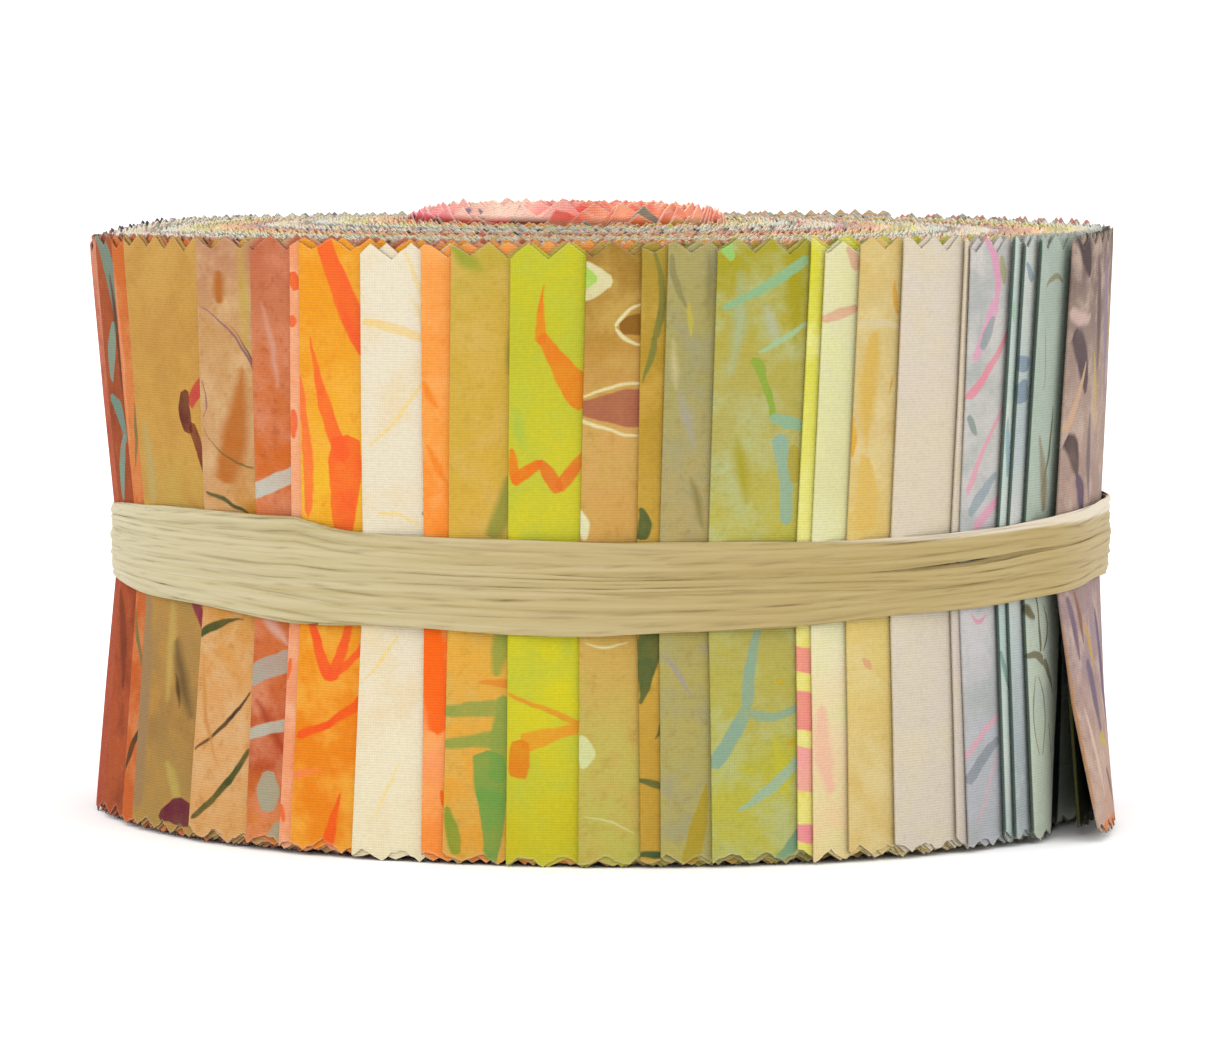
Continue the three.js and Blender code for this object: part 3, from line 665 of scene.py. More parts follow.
        ("#E6DCA8", 6.2, 57.2, 3, 54.6, -0.5, 0.2, 0.3, 0.3),
        ("#E6DCA8", 3, 54.8, 6.2, 53, -0.6, 0.3, 0.35, 0.25),
        ("#A8604A", -1, 46.5, 7, 46.6, 0, 0.9, 1.7, 2.4),
        ("#E6DCA8", -0.4, 47.6, 6.4, 49.2, 0.3, 0.25, 0.3, 0.3),
        ("#E6DCA8", -0.4, 45.4, 6.4, 43.7, -0.3, 0.3, 0.3, 0.25),
        ("#E2E0B4", 0, 36.4, 0.3, 33, 0.3, 0.2, 0.8, 0.4),
        ("#D6DCA0", 0.2, 13.4, 0.6, 9.8, 0.4, 0.5, 1.3, 0.4),
        ("#E2DCA4", 0.3, 22.8, 5.2, 22.9, -0.6, 0.2, 0.25, 0.2),
        ("#D3DA9A", 0, 5, 6, 3.2, 0.5, 0.15, 0.22, 0.18),
    ),
    "gold_leaf": (
        ("#7C7C3A", 0.9, 63.2, 1.3, 53, 1, 0.3, 0.5, 0.6),
        ("#747C3A", 1.4, 54, 0.1, 48.8, 0.2, 0.5, 0.5, 0.15),
        ("#3F5A33", 0.2, 36.6, 0.3, 33, 0.5, 0.3, 0.9, 0.8),
        ("#3F5A33", 1.6, 24.5, 0.2, 16, 0, 1.5, 1.3, 0.1),
        ("#4A5E34", 2.6, 14.6, 1.6, 12.8, 0, 0.7, 0.4, 0.1),
        ("#3F5A33", -0.2, 8.8, 2.8, 8, 0, 0.4, 0.55, 0.45),
        ("#3F5A33", -0.2, 1.2, 2.8, 1.2, 0, 0.4, 0.55, 0.45),
    ),
    "sage": (
        ("#8A8250", 4.2, 63, 4.4, 55, 0, 0.5, 1, 0.5, 1),
        ("#CDBE8A", 0.6, 54, 1.2, 48, 0, 0.4, 0.9, 0.4, 0.9),
        ("#A8A290", 1.4, 49, 3.6, 42, 0, 0.6, 1.3, 0.6, 1.2),
        ("#8C7E44", 3, 40, 4.6, 34, 0, 0.4, 1, 0.5, 0.9),
        ("#8E8656", 0.4, 62.4, 2.4, 56.2, -0.5, 0.3, 0.6, 0.2),
        ("#C2B24C", 2.2, 57.4, 2.7, 53.6, 0, 0.2, 0.5, 0.2),
        ("#B0982A", 4.9, 9, 2.8, -0.3, 0.2, 0.15, 1, 1.2),
        ("#A49A88", 0.6, 21.4, 3.4, 17.4, 0, 0.2, 0.6, 0.2),
    ),
    "lime_reed": (
        ("#A8B890", 2.2, 61, 1.6, 49, 0.6, 0.8, 1.8, 0.8, 1.8),
        ("#A69A18", 8.2, 64, 8.8, 52, 0, 1.8, 2, 0.8, 1.5),
        ("#B4B894", 5.4, 57, 6.8, 52, 0, 0.8, 1.3, 0.6, 1.2),
        ("#A89C20", 2.4, 44, 4.2, 36, 0, 0.8, 1.8, 0.8, 1.6),
        ("#C2BC34", 7, 13, 8.4, 6, 0, 0.8, 1.6, 0.8, 1.4),
        ("#98CC70", 0.2, 63.6, 1.6, 61.2, 0, 0.8, 1, 0.5),
        ("#8FB888", 10.2, 61.8, 0.2, 56, 0.3, 0.8, 0.6, 0.5),
        ("#A4C494", 10.2, 55, 4.4, 51.8, 0.2, 0.5, 0.45, 0.25),
        ("#8CA83C", 4, 51.6, 6.6, 45.2, 0.4, 0.9, 0.5, 0.5),
        ("#8AB494", 6.2, 45.6, 10.2, 44.4, -0.3, 0.5, 0.9, 0.6),
        ("#8FB098", 7.2, 43.8, 8.4, 34, 0.4, 1.2, 0.8, 0.9),
        ("#B0A03C", 9.2, 42.6, 9.2, 38.6, 0, 0.6, 1.3, 0.6),
        ("#8AA890", 5.6, 24.4, 3.9, 15.4, -0.3, 0.6, 0.65, 1),
        ("#8AA890", 4.2, 16, -0.2, 9.6, 0.2, 1, 0.8, 1),
        ("#8FAA8C", 4.2, 15.2, 10.2, 16.2, -0.9, 0.9, 0.5, 0.6),
        ("#9CB89C", 10.2, 10.8, 2.6, 5, 0.3, 0.6, 0.8, 0.3),
        ("#7FA07C", 10.2, 3.4, 7, 0, 0.1, 0.7, 0.8, 0.7),
        ("#C6A42C", 7.2, 18.6, 8.4, 18, 0, 0.2, 0.5, 0.2),
        ("#C6A42C", 8.2, 11.8, 9.6, 12.4, 0, 0.2, 0.5, 0.2),
    ),
    "lemon": (
        ("#EE8585", -1.8, 20.6, 3.6, 19.8, 0, 1.3, 1.4, 1.4),
        ("#EE8585", -1.8, 15.6, 3.6, 14.4, 0, 2, 2.1, 2.1),
        ("#F2A49C", -1.8, 9.6, 3.6, 8.6, 0, 2.3, 2.4, 2.3),
        ("#F08E9A", -1.8, 2.8, 3.6, 2.2, 0, 1, 1.1, 1),
    ),
    "pale_lemon": (
        ("#DDAC8C", -0.3, 55.4, 4.4, 56.6, 0, 0.55, 0.7, 0.6),
        ("#DDB090", 2.6, 63, 4.2, 60.4, 0, 0.3, 0.9, 0.6),
        ("#F0BCA0", 1, 16.6, 2.2, 6.6, -0.4, 0.9, 1.8, 1, 0.9),
    ),
    "wheat": (
        ("#D9B254", 2.4, 54.4, 1.9, 41, -0.5, 1.4, 2.1, 0.6, 1.2),
        ("#D8C89C", -0.2, 54.6, 5.8, 54.2, 0.2, 0.4, 0.45, 0.5),
        ("#D9A23C", 4.6, 59.4, 5.4, 55.4, -0.4, 0.15, 0.6, 0.3),
        ("#E0A83C", -0.2, 46, 0.2, 40.6, 0, 0.2, 0.7, 0.2),
        ("#DDB860", 1.4, 41.4, 1.9, 33, 0.5, 0.8, 1.9, 1.8, 0.6),
        ("#D49A3C", 4.9, 49.6, 4.4, 47.2, 0, 0.1, 0.35, 0.1),
        ("#DDA878", 2, 20.4, 3.2, 19, 0, 0.3, 0.7, 0.3),
    ),
    "pink_cloud": (
        ("#DF9FB8", 1.6, 64, 4.6, 55.6, 1.6, 0.7, 0.8, 0.7),
        ("#E0A4BC", 4.8, 57.2, 0.6, 50.4, 0.5, 0.9, 1.2, 0.7),
        ("#E4909E", -0.2, 46.6, 7.6, 53.8, -0.5, 0.9, 0.6, 0.5),
        ("#98A4A2", 2.2, 51.6, 4.6, 55.2, 0, 0.7, 1.1, 0.4),
        ("#8A9890", 0.2, 45, 2, 42.8, 0, 0.4, 0.8, 0.3),
        ("#A8A87C", 5.4, 61.6, 6.2, 58.4, 0, 0.4, 0.9, 0.4),
        ("#E2A2AE", 0.4, 36.4, 7.4, 46, 0.4, 0.7, 0.5, 0.4),
        ("#98A4A8", 0.8, 34.6, 6.6, 39, 0, 0.8, 1.1, 0.4),
        ("#E0A0B4", 2, 33, 7.4, 36.4, 0, 0.6, 0.8, 0.5),
        ("#E08AA4", 1.4, 24.6, 4.8, 24.4, -1, 0.2, 0.5, 0.2),
        ("#E0A4B0", -0.2, 9.4, 6.8, 13.6, 0.3, 0.5, 0.45, 0.4),
        ("#8E949A", -0.2, 6.8, 6.8, 11.2, 0.3, 0.9, 0.8, 0.7),
        ("#E2A4AC", 1, 2, 6.2, 10, -0.3, 0.25, 0.25, 0.25),
    ),
    "mint": (
        ("#8CB0B8", 0.6, 44.8, 1.4, 38, 0, 0.3, 0.8, 0.3),
        ("#7C9C90", 0.2, 20.4, 1.8, 16.2, 0, 0.3, 0.8, 0.2),
        ("#9CC4A0", 0.4, 56.6, 0.8, 54.4, 0, 0.3, 0.6, 0.3),
    ),
    "mint_sky": (
        ("#8494A4", -0.2, 50, 2.9, 49.8, 0, 0.9, 1, 0.9),
        ("#7E90A0", -0.2, 46.8, 2.9, 47.2, 0, 1.3, 1.4, 1.3),
        ("#8A9CA8", 0.3, 60.6, 2.6, 58.4, 0, 0.3, 0.9, 0.5),
    ),
    "sea_petal": (
        ("#8F8A6A", 1.4, 57.6, 6.4, 58.4, 1, 0.3, 0.5, 0.4),
        ("#8F8A6A", 1.8, 54.4, 2.8, 46.6, 0.5, 0.15, 0.28, 0.2),
        ("#6E6A4E", 5.6, 46, 3.6, 36, 0.6, 0.2, 0.4, 0.3),
        ("#8C7E60", 2, 43, 4.6, 34, 0.6, 0.6, 1.4, 1.2, 1),
        ("#6C6448", -0.2, 24.6, 2.6, 23.2, 0, 0.9, 0.9, 0.5, 0.5),
        ("#6C6448", 2.8, 26, 3.6, 19.4, 0.4, 0.3, 0.35, 0.5),
        ("#776E52", -0.2, 19.4, 4.6, 18.6, 0.3, 0.5, 0.5, 0.9),
        ("#776E52", 4.2, 19.6, 4.6, 25, -1.6, 0.4, 0.3, 0.3),
        ("#776E52", 4.4, 18.8, 7.6, 14.6, 0.4, 0.8, 0.5, 0.3),
        ("#847A60", 2.6, 17.6, 2.9, 8.4, 1.7, 0.3, 0.32, 0.3),
        ("#847A60", 2.4, 17.6, 2.7, 8.4, -1.7, 0.3, 0.25, 0.3),
        ("#847A60", 5.4, 12.4, 6.8, 4, 0.8, 0.3, 0.3, 0.2),
        # Near black, from about 10.6 mm past the fold and from the bottom up to 27 mm: painted shadow of the
        # gap under the loose end.
        ("#121813", 10.6, 27, 11.2, -3, 0, 0.4, 1.8, 2.8, 1.2),
        ("#0A0E0B", 11.2, 23, 11.8, -9, 0, 0.6, 3.4, 4.2, 1),
        ("#0A0E0B", 11.4, 21, 12, -12, 0, 0.8, 3.6, 4.4, 0.8),
    ),
    "mauve_bark": (
        ("#E07A34", -0.2, 0.6, 16, 0, 0.3, 0.7, 0.9, 1.4, 0.4),
        ("#B88450", 0.1, 24, 0.1, 2, 0, 0.2, 0.26, 0.26),
        ("#4C3E42", 0.6, 64, 5.4, 58.6, 0.6, 1.8, 2.4, 1, 0.9),
        ("#D0B2A8", -0.2, 55.4, 7, 54.6, -0.5, 1.3, 1.2, 0.9, 0.8),
        ("#54444A", 0.6, 53.4, 7, 46.4, 0.8, 1.6, 2.6, 1.4, 0.9),
        ("#CFA988", -0.2, 42.6, 6.2, 50.4, -0.7, 0.9, 0.9, 0.4, 0.4),
        ("#4C3C3C", 0.2, 42, 5.6, 37.6, 0.9, 1.3, 2.4, 0.9, 0.9),
        ("#B89A8A", 1, 37.4, 5.6, 34.4, 0.4, 0.6, 1.1, 0.5, 0.6),
        ("#564660", 4.8, 38, 8.6, 32.6, 0.8, 1.2, 2, 0.8, 0.8),
        ("#6C5A58", 8.6, 62, 12.4, 48, 0.8, 0.8, 2.4, 0.8, 1.2),
        ("#C9A860", 9.4, 51.4, 13.2, 41.6, 0.6, 0.4, 1.2, 0.4, 0.6),
        ("#7C6A6A", 9.6, 45, 12, 34.4, -0.8, 0.8, 2.2, 0.6, 1.2),
        ("#94829A", 13.6, 63, 18.2, 44, 0.8, 0.8, 2.6, 0.8, 1.4),
        ("#C8A468", 18, 57, 21.6, 46.6, 0.6, 0.5, 1.6, 0.5, 0.8),
        ("#7A6474", 1.6, 25.6, 3.6, 18, 0.5, 1, 1.6, 0.6, 0.8),
        ("#8E5A3C", 4.4, 26, 6.2, 19.6, 0.4, 0.5, 1.2, 0.5, 0.6),
        ("#C9A048", 7.2, 22.4, 11, 16, 0.5, 0.5, 1.2, 0.4, 0.5),
        ("#705E74", 6.4, 18.6, 10.8, 9, 0.9, 1.3, 2.5, 1, 1),
        ("#C8B052", 8.4, 9.4, 14.2, 8.2, 0.7, 0.7, 1.2, 0.6, 0.5),
        ("#7A5E60", 10, 6.4, 14.8, 2, 0.3, 0.7, 1.6, 0.6, 0.8),
        ("#6E5C78", 14, 24, 19.4, 6, 0.7, 1, 2.6, 0.8, 1.2),
        ("#DCC0AC", 2.8, 14, 5.4, 3, 0.4, 0.5, 1.2, 0.6, 0.7),
    ),
    "plum_fern": (
        ("#B08CA4", 2, 3, 12, 17, 1.4, 0.2, 0.35, 0.15),
        ("#B08CA4", 5, 8, 3, 13, 0.5, 0.5, 0.9, 0.1),
        ("#B08CA4", 8, 11, 12.5, 9, 0.5, 0.5, 0.9, 0.1),
    ),
    "cream_bloom": (
        ("#D8A868", 0.5, 4, 12.5, 6, 1.8, 0.4, 0.6, 0.4),
        ("#C98E50", 3, 11, 8, 13, -1, 0.3, 1, 0.3),
    ),
    "apricot": (
        ("#B4652C", 3, 2, 7, 9, 0.8, 0.1, 1.3, 0.1),
        ("#B4652C", 9, 10, 12, 17, -0.8, 0.1, 1.3, 0.1),
    ),
    "moss_sprig": (
        ("#6E7430", 3, 3, 7, 14, 0.8, 0.15, 0.3, 0.15),
        ("#6E7430", 4.6, 8, 8.6, 9.6, 0.3, 0.3, 0.8, 0.1),
    ),
    "dove": (
        ("#EAE8DE", 2, 8, 14, 9, 2, 0.25, 0.5, 0.25),
        ("#9AA09C", 4, 2, 9, 4, 0.8, 0.3, 0.9, 0.3),
    ),
    "eucalyptus": (
        ("#5E8070", 7, 1, 6, 19, 1, 0.2, 0.3, 0.2),
        ("#5E8070", 6.8, 6, 2, 9, 0.3, 0.1, 1, 0.1),
        ("#5E8070", 7.2, 11, 12, 14, -0.3, 0.1, 1, 0.1),
    ),
    "olive_moss": (
        ("#747840", 2, 4, 13, 13, 1.6, 0.3, 0.45, 0.3),
        ("#747840", 9, 5, 12, 3, 0.3, 0.1, 0.8, 0.1),
    ),
    "pale_moss": (
        ("#A8A468", 2, 4, 12, 14, 1.6, 0.3, 0.6, 0.3),
    ),
    "lilac_mist": (
        ("#D8D0E0", 3, 3, 6, 6, 0, 0.3, 1.2, 0.3),
        ("#8474A4", 8, 7, 10, 10, 0, 0.3, 0.9, 0.3),
    ),
    "ink_leaf": (
        ("#8C84A0", 3, 2, 7, 9, 0.8, 0.1, 1.3, 0.1),
        ("#8C84A0", 9, 10, 12, 17, -0.8, 0.1, 1.3, 0.1),
    ),
    "crimson_fern": (
        ("#E89A80", 4, 2, 9, 17, 1, 0.2, 0.3, 0.2),
        ("#E89A80", 6.5, 8, 11.5, 10, 0.3, 0.4, 0.7, 0.1),
        ("#E89A80", 6, 12, 2, 15, 0.3, 0.4, 0.7, 0.1),
    ),
    "umber": (
        ("#B8703C", 2, 3, 9, 12, 1.2, 0.3, 0.8, 0.3),
    ),
    "magenta": (
        ("#F0B4C4", 3, 3, 9, 8, 1.2, 0.3, 0.9, 0.3),
    ),
    "blush": (
        ("#D8604C", 3, 3, 9, 13, 1.4, 0.2, 0.4, 0.2),
    ),
}
# The dyes of the slid-up core from its left to its right, with painted highlights in its pale cream stops,
# how far from the middle it reaches, and how high the turns beside it stand at most.
CORE_DYES_AND_HIGHLIGHTS = ("#E8507C", "#F07090", "#F8A8A4", "#FCD4C0", "#FDDCCA", "#F8B4A8", "#F08080", "#E4604E",
             "#F9AA88", "#EE8068", "#F9B090", "#EE7E68", "#F39A80")
CORE_EDGE = 22.4
CORE_FOOT = 64.3


def new_material(name):
    """An empty material and its node tree."""
    material = bpy.data.materials.new(name)
    material.use_nodes = True
    material.node_tree.nodes.clear()
    return material, material.node_tree


def calc(tree, operation, *values, **settings):
    """The result of a maths node on numbers or sockets."""
    return node(tree, "ShaderNodeMath", dict(enumerate(values)), operation=operation, **settings).outputs[0]


def vector_calc(tree, operation, *values):
    """The result of a vector maths node on vectors or sockets."""
    return node(tree, "ShaderNodeVectorMath", dict(enumerate(values)), operation=operation).outputs[0]


def ranged(tree, value, start, end, low=0.0, high=1.0, kind="LINEAR"):
    """A value that goes from low to high as another goes from start to end."""
    return node(tree, "ShaderNodeMapRange", {
        "Value": value, "From Min": start, "From Max": end, "To Min": low, "To Max": high},
        interpolation_type=kind).outputs[0]


def mixed(tree, factor, first, second, blend="MIX"):
    """A colour with so much of a second one mixed in."""
    return node(tree, "ShaderNodeMix", {"Factor": factor, "A": first, "B": second},
                data_type="RGBA", blend_type=blend).outputs["Result"]


def noise(tree, place, scale, detail, seed=None, roughness=0.5):
    """A noise texture, with a seed where several materials each need their own."""
    inputs = {"Vector": place, "Scale": scale, "Detail": detail, "Roughness": roughness}
    if seed is None:
        return node(tree, "ShaderNodeTexNoise", inputs)
    return node(tree, "ShaderNodeTexNoise", {**inputs, "W": seed}, noise_dimensions="4D")


def ramp(tree, value, dyes):
    """A colour that goes evenly through these dyes as the value goes from 0 to 1."""
    made = node(tree, "ShaderNodeValToRGB", {0: value})
    while len(made.color_ramp.elements) < len(dyes):
        made.color_ramp.elements.new(0.5)
    for i, dye in enumerate(dyes):
        made.color_ramp.elements[i].position = i / max(len(dyes) - 1, 1)
        made.color_ramp.elements[i].color = linear(dye)
    return made.outputs[0]


def surfaced(tree, colour, relief, strength, depth, roughness, shine):
    """Ends a material in a surface with this colour and this fine relief."""
    bump = node(tree, "ShaderNodeBump", {"Height": relief, "Strength": strength, "Distance": depth})
    surface = node(tree, "ShaderNodeBsdfPrincipled", {
        "Base Color": colour, "Roughness": roughness, "Specular IOR Level": shine, "Normal": bump.outputs[0]})
    node(tree, "ShaderNodeOutputMaterial", {"Surface": surface.outputs[0]})


def mark_mask(tree, place, mark):
    """1 inside a bowed, tapering mark drawn from one place on the cloth to another, and 0 outside it."""
    start, end, bow, widths = mark[:2], mark[2:4], mark[4], mark[5:8]
    fade = mark[8] if len(mark) > 8 else MARK_FADE
    length = math.dist(start, end)
    turn = math.atan2(end[1] - start[1], end[0] - start[0])
    local = node(tree, "ShaderNodeMapping", {
        "Vector": place, "Location": (*start, 0), "Rotation": (0, 0, turn), "Scale": (length, length, 1)},
        vector_type="TEXTURE")
    along, across, _ = node(tree, "ShaderNodeSeparateXYZ", {0: local.outputs[0]}).outputs
    humped = calc(tree, "SUBTRACT", along, calc(tree, "MULTIPLY", along, along))
    off = calc(tree, "ABSOLUTE", calc(tree, "MULTIPLY_ADD", humped, -4 * bow / length, across))
    taper = node(tree, "ShaderNodeValToRGB", {0: along})
    taper.color_ramp.interpolation = "B_SPLINE"
    while len(taper.color_ramp.elements) < 7:
        taper.color_ramp.elements.new(0.5)
    stops = ((0.0, 0.0), (0.02, 0.0), (0.07, widths[0]), (0.5, widths[1]), (0.93, widths[2]), (0.98, 0.0),
             (1.0, 0.0))
    for element, (at, width) in zip(taper.color_ramp.elements, stops):
        element.position = at
        element.color = (width / 4,) * 3 + (1.0,)
    inside = calc(tree, "SUBTRACT", calc(tree, "MULTIPLY", taper.outputs[0], 4 / length), off)
    return ranged(tree, inside, 0.0, fade / length, kind="SMOOTHSTEP")


def core_dyed(tree, colour, broad, seed):
    """The colour, with the core's dyes where the core has slid up. They belong to the strips' inner ends,
    which show nowhere else, so they go by where they stand in the roll. They are brightened above the dyes as
    painted light."""
    spot = node(tree, "ShaderNodeTexCoord").outputs["Object"]
    spot = vector_calc(tree, "MULTIPLY", spot, (1 / MM, 1 / MM, 1 / MM))
    across, _, up = node(tree, "ShaderNodeSeparateXYZ", {0: spot}).outputs
    level = vector_calc(tree, "MULTIPLY", spot, (1, 1, 0))
    away = node(tree, "ShaderNodeVectorMath", {0: level}, operation="LENGTH").outputs["Value"]
    within = ranged(tree, away, CORE_EDGE, CORE_EDGE - 1.0)
    reached = ranged(tree, up, CORE_FOOT, CORE_FOOT + 0.7, high=within)
    drift = calc(tree, "MULTIPLY_ADD", broad, 15.0, across)
    offset = seed % 6.0 - 3.0
    through = ranged(tree, drift, -14.0 + offset, 22.0 + offset)
    # The core's colours are multiplied by 1.22 to 1.42: painted light, for the light that the turns round it
    # keep off.
    bright = 1.22 + 0.05 * (seed % 5.0)
    core_painted_light = mixed(tree, 1.0, ramp(tree, through, CORE_DYES_AND_HIGHLIGHTS), (bright, bright, bright, 1.0), "MULTIPLY")
    return mixed(tree, reached, colour, core_painted_light)


def batik_cotton(name):
    """Plain-woven batik cotton: dull, with soft clouds of dye, waxed marks, fine threads that show as rows,
    and pale fuzzy thread ends along the pinked cut. Some marks, fold bands, cut faces and the slid-up core
    carry painted shade and painted light."""
    material, tree = new_material(f"batik_cotton_{name}")
    dyes, cloud, mottle = FABRICS[name]
    cloth = node(tree, "ShaderNodeUVMap", uv_map="cloth").outputs[0]
    flat = vector_calc(tree, "MULTIPLY", cloth, (STRIP, STRIP, 0))
    seed = 7.3 * (list(FABRICS).index(name) + 1)

    # Dye runs: the mark edges waver by about 0.3 mm, and the bands of dye by several.
    fine = noise(tree, flat, 0.45, 1.5, seed).outputs["Color"]
    wavered = vector_calc(tree, "MULTIPLY_ADD", fine, (0.7, 0.7, 0), (-0.35, -0.35, 0))
    place = vector_calc(tree, "ADD", flat, wavered)
    broad = noise(tree, flat, 0.09, 4.0, seed + 3).outputs["Fac"]
    along, up, _ = node(tree, "ShaderNodeSeparateXYZ", {0: flat}).outputs
    distance = calc(tree, "ABSOLUTE", along)
    run = calc(tree, "MULTIPLY_ADD", broad, 0.34, -0.17)
    colour = ramp(tree, calc(tree, "MULTIPLY_ADD", up, 1 / STRIP, run), dyes)

    clouds = noise(tree, flat, 0.22, 5.0, seed + 9, 0.6).outputs["Fac"]
    cloudy = ranged(tree, clouds, 0.42, 0.68, high=0.75, kind="SMOOTHSTEP")
    colour = mixed(tree, cloudy, colour, linear(cloud))
    spots = noise(tree, flat, 0.85, 4.0, seed + 15, 0.65).outputs["Fac"]
    spotted = ranged(tree, spots, 0.49, 0.72, high=0.42, kind="SMOOTHSTEP")
    colour = mixed(tree, spotted, colour, linear(mottle))
    colour = core_dyed(tree, colour, broad, seed)

    tile = TILES.get(name, FRONT_TILE)
    low = (0, 0, 0) if name in TILES else FRONT_START
    tiled = vector_calc(tree, "WRAP", place, (tile[0] + low[0], tile[1] + low[1], 1), low)
    mark_strength = calc(tree, "MULTIPLY_ADD", clouds, 0.8, 0.48, use_clamp=True)
    for dye, *mark in MARKS.get(name, ()):
        strength = calc(tree, "MULTIPLY", mark_mask(tree, tiled, mark), mark_strength)
        colour = mixed(tree, strength, colour, linear(dye))
    # A narrow band along the fold: painted shade on the mint strips, painted light on the dark slips.
    if name in FOLD_SHADING:
        fold_shaded = ranged(tree, distance, 0.2, 0.11, high=0.85)
        colour = mixed(tree, fold_shaded, colour, linear(FOLD_SHADING[name]))

    # Threads lie 0.27 mm apart both ways, a little coarser than the real ones so that they show.
    rows, columns = (node(tree, "ShaderNodeTexWave", {
        "Vector": flat, "Scale": math.tau / 20 / 0.27, "Distortion": 1.1, "Detail": 2.0, "Detail Scale": 0.5},
        wave_type="BANDS", bands_direction=direction).outputs["Fac"] for direction in "YX")
    slubs = noise(tree, flat, 2.2, 2.0).outputs["Fac"]
    weave = calc(tree, "ADD", rows, calc(tree, "MULTIPLY_ADD", columns, 0.38, -0.1))
    threads = calc(tree, "MULTIPLY_ADD", slubs, 1.5, weave)
    shade = ranged(tree, threads, 0.3, 2.2, 0.59, 0.765)

    # The cut threads at the pinked edges are paler for about 0.4 mm, where no dye was pressed into them. On
    # the turns inside the roll, where only the edges are seen, they are made paler still, from 14 to 40 mm
    # along the strip.
    to_edge = node(tree, "ShaderNodeAttribute", attribute_name="to_edge").outputs["Fac"]
    paler = ranged(tree, distance, 14.0, 40.0, 0.14, 0.42)
    ragged = calc(tree, "MULTIPLY_ADD", slubs, 0.55, to_edge)
    raw = ranged(tree, ragged, 0.62, 0.3, high=paler, kind="SMOOTHSTEP")
    colour = mixed(tree, raw, colour, linear("#EFE6D2"))

    # The cut lies in its own fuzz. Its faces are painted darker on the outer turns, as painted shade, and a
    # bit lighter on the turns inside the roll, as painted light.
    cut_face_painted_shading = ranged(tree, distance, 14.0, 40.0, 0.6, 1.1)
    cut = ranged(tree, to_edge, 0.004, 0.012, cut_face_painted_shading)
    colour = mixed(tree, 1.0, colour, calc(tree, "MULTIPLY", shade, cut), "MULTIPLY")
    surfaced(tree, colour, threads, 0.35, 0.00006, 0.9, 0.12)
    return material


def dried_raffia(sizes):
    """Dried raffia palm leaf: a thin, slightly glossy film with fine fibres along it, darker creases, and
    painted shade in the hollows between its pleats.
    """
    material, tree = new_material("dried_raffia")
    leaf = node(tree, "ShaderNodeUVMap", uv_map="cloth").outputs[0]
    # Fibres run along the strand, about 0.15 mm apart and some 50 mm long.
    stretched = node(tree, "ShaderNodeMapping", {"Vector": leaf, "Scale": (0.022, 1.9, 1.0)}).outputs[0]
    fibres = noise(tree, stretched, 1.0, 6.0, roughness=0.65).outputs["Fac"]
    stained = node(tree, "ShaderNodeMapping", {"Vector": leaf, "Scale": (0.02, 0.25, 1.0)}).outputs[0]
    stains = noise(tree, stained, 1.0, 3.0).outputs["Fac"]
    bare = node(tree, "ShaderNodeValToRGB", {0: fibres})
    stops = bare.color_ramp.elements
    stops[0].position = 0.27
    stops[0].color = linear(sizes.crease)
    stops[1].position = 0.4
    stops[1].color = linear(sizes.colour)
    stops.new(0.75).color = linear("#DCD3B2")
    colour = mixed(tree, ranged(tree, stains, 0.45, 0.7, high=0.35), bare.outputs[0], linear("#D8CFAC"))
    # The leaf is browner on the right and bleached along one edge, and the hollows between its pleats are
    # painted darker as painted shade.
    tints = (("tone", 0.8, "#DDC78E", "MULTIPLY"), ("hollow", 0.6, "#8A7440", "MIX"),
             ("pale", 0.85, "#EADDC6", "MIX"))
    for label, strength, tint, blend in tints:
        amount = node(tree, "ShaderNodeAttribute", attribute_name=label).outputs["Fac"]
        share = calc(tree, "MULTIPLY", amount, strength, use_clamp=True)
        colour = mixed(tree, share, colour, linear(tint), blend)
    colour = mixed(tree, 1.0, colour, (0.71, 0.71, 0.71, 1.0), "MULTIPLY")
    surfaced(tree, colour, fibres, 0.8, 0.0002, 0.55, 0.4)
    return material


# The raffia band's lower and upper edge, by bearing.
BAND = ((-180.0, 24.0, 33.0), (-120.0, 24.8, 32.8), (-86.0, 25.3, 33.6), (-72.0, 25.0, 34.2),
        (-53.0, 24.6, 34.8), (-41.0, 24.0, 34.7), (-36.0, 23.8, 34.9), (-30.0, 23.7, 34.0),
        (-15.0, 23.6, 33.3), (0.0, 23.6, 33.1), (24.0, 24.5, 33.0), (34.0, 24.9, 33.1),
        (41.0, 25.1, 33.3), (50.0, 25.3, 33.9), (60.0, 25.8, 34.7), (71.0, 26.3, 34.9),
        (86.0, 26.3, 35.0), (130.0, 25.0, 34.2), (180.0, 24.0, 33.0))
# Its strands: place across the band, 0 low to 1 high, share of the band's width, and how far out each lies.
STRANDS = (
    (0.22, 0.44, 0.00), (0.76, 0.48, 0.02), (0.50, 0.46, 0.06), (0.13, 0.26, 0.14),
    (0.87, 0.26, 0.16), (0.33, 0.28, 0.21), (0.70, 0.27, 0.25), (0.52, 0.22, 0.34),
)
STRAND_COLUMNS = 211
STRAND_ROWS = 14
STRAND_LIFT = 0.56  # from the even roll's outside to the lowest strand


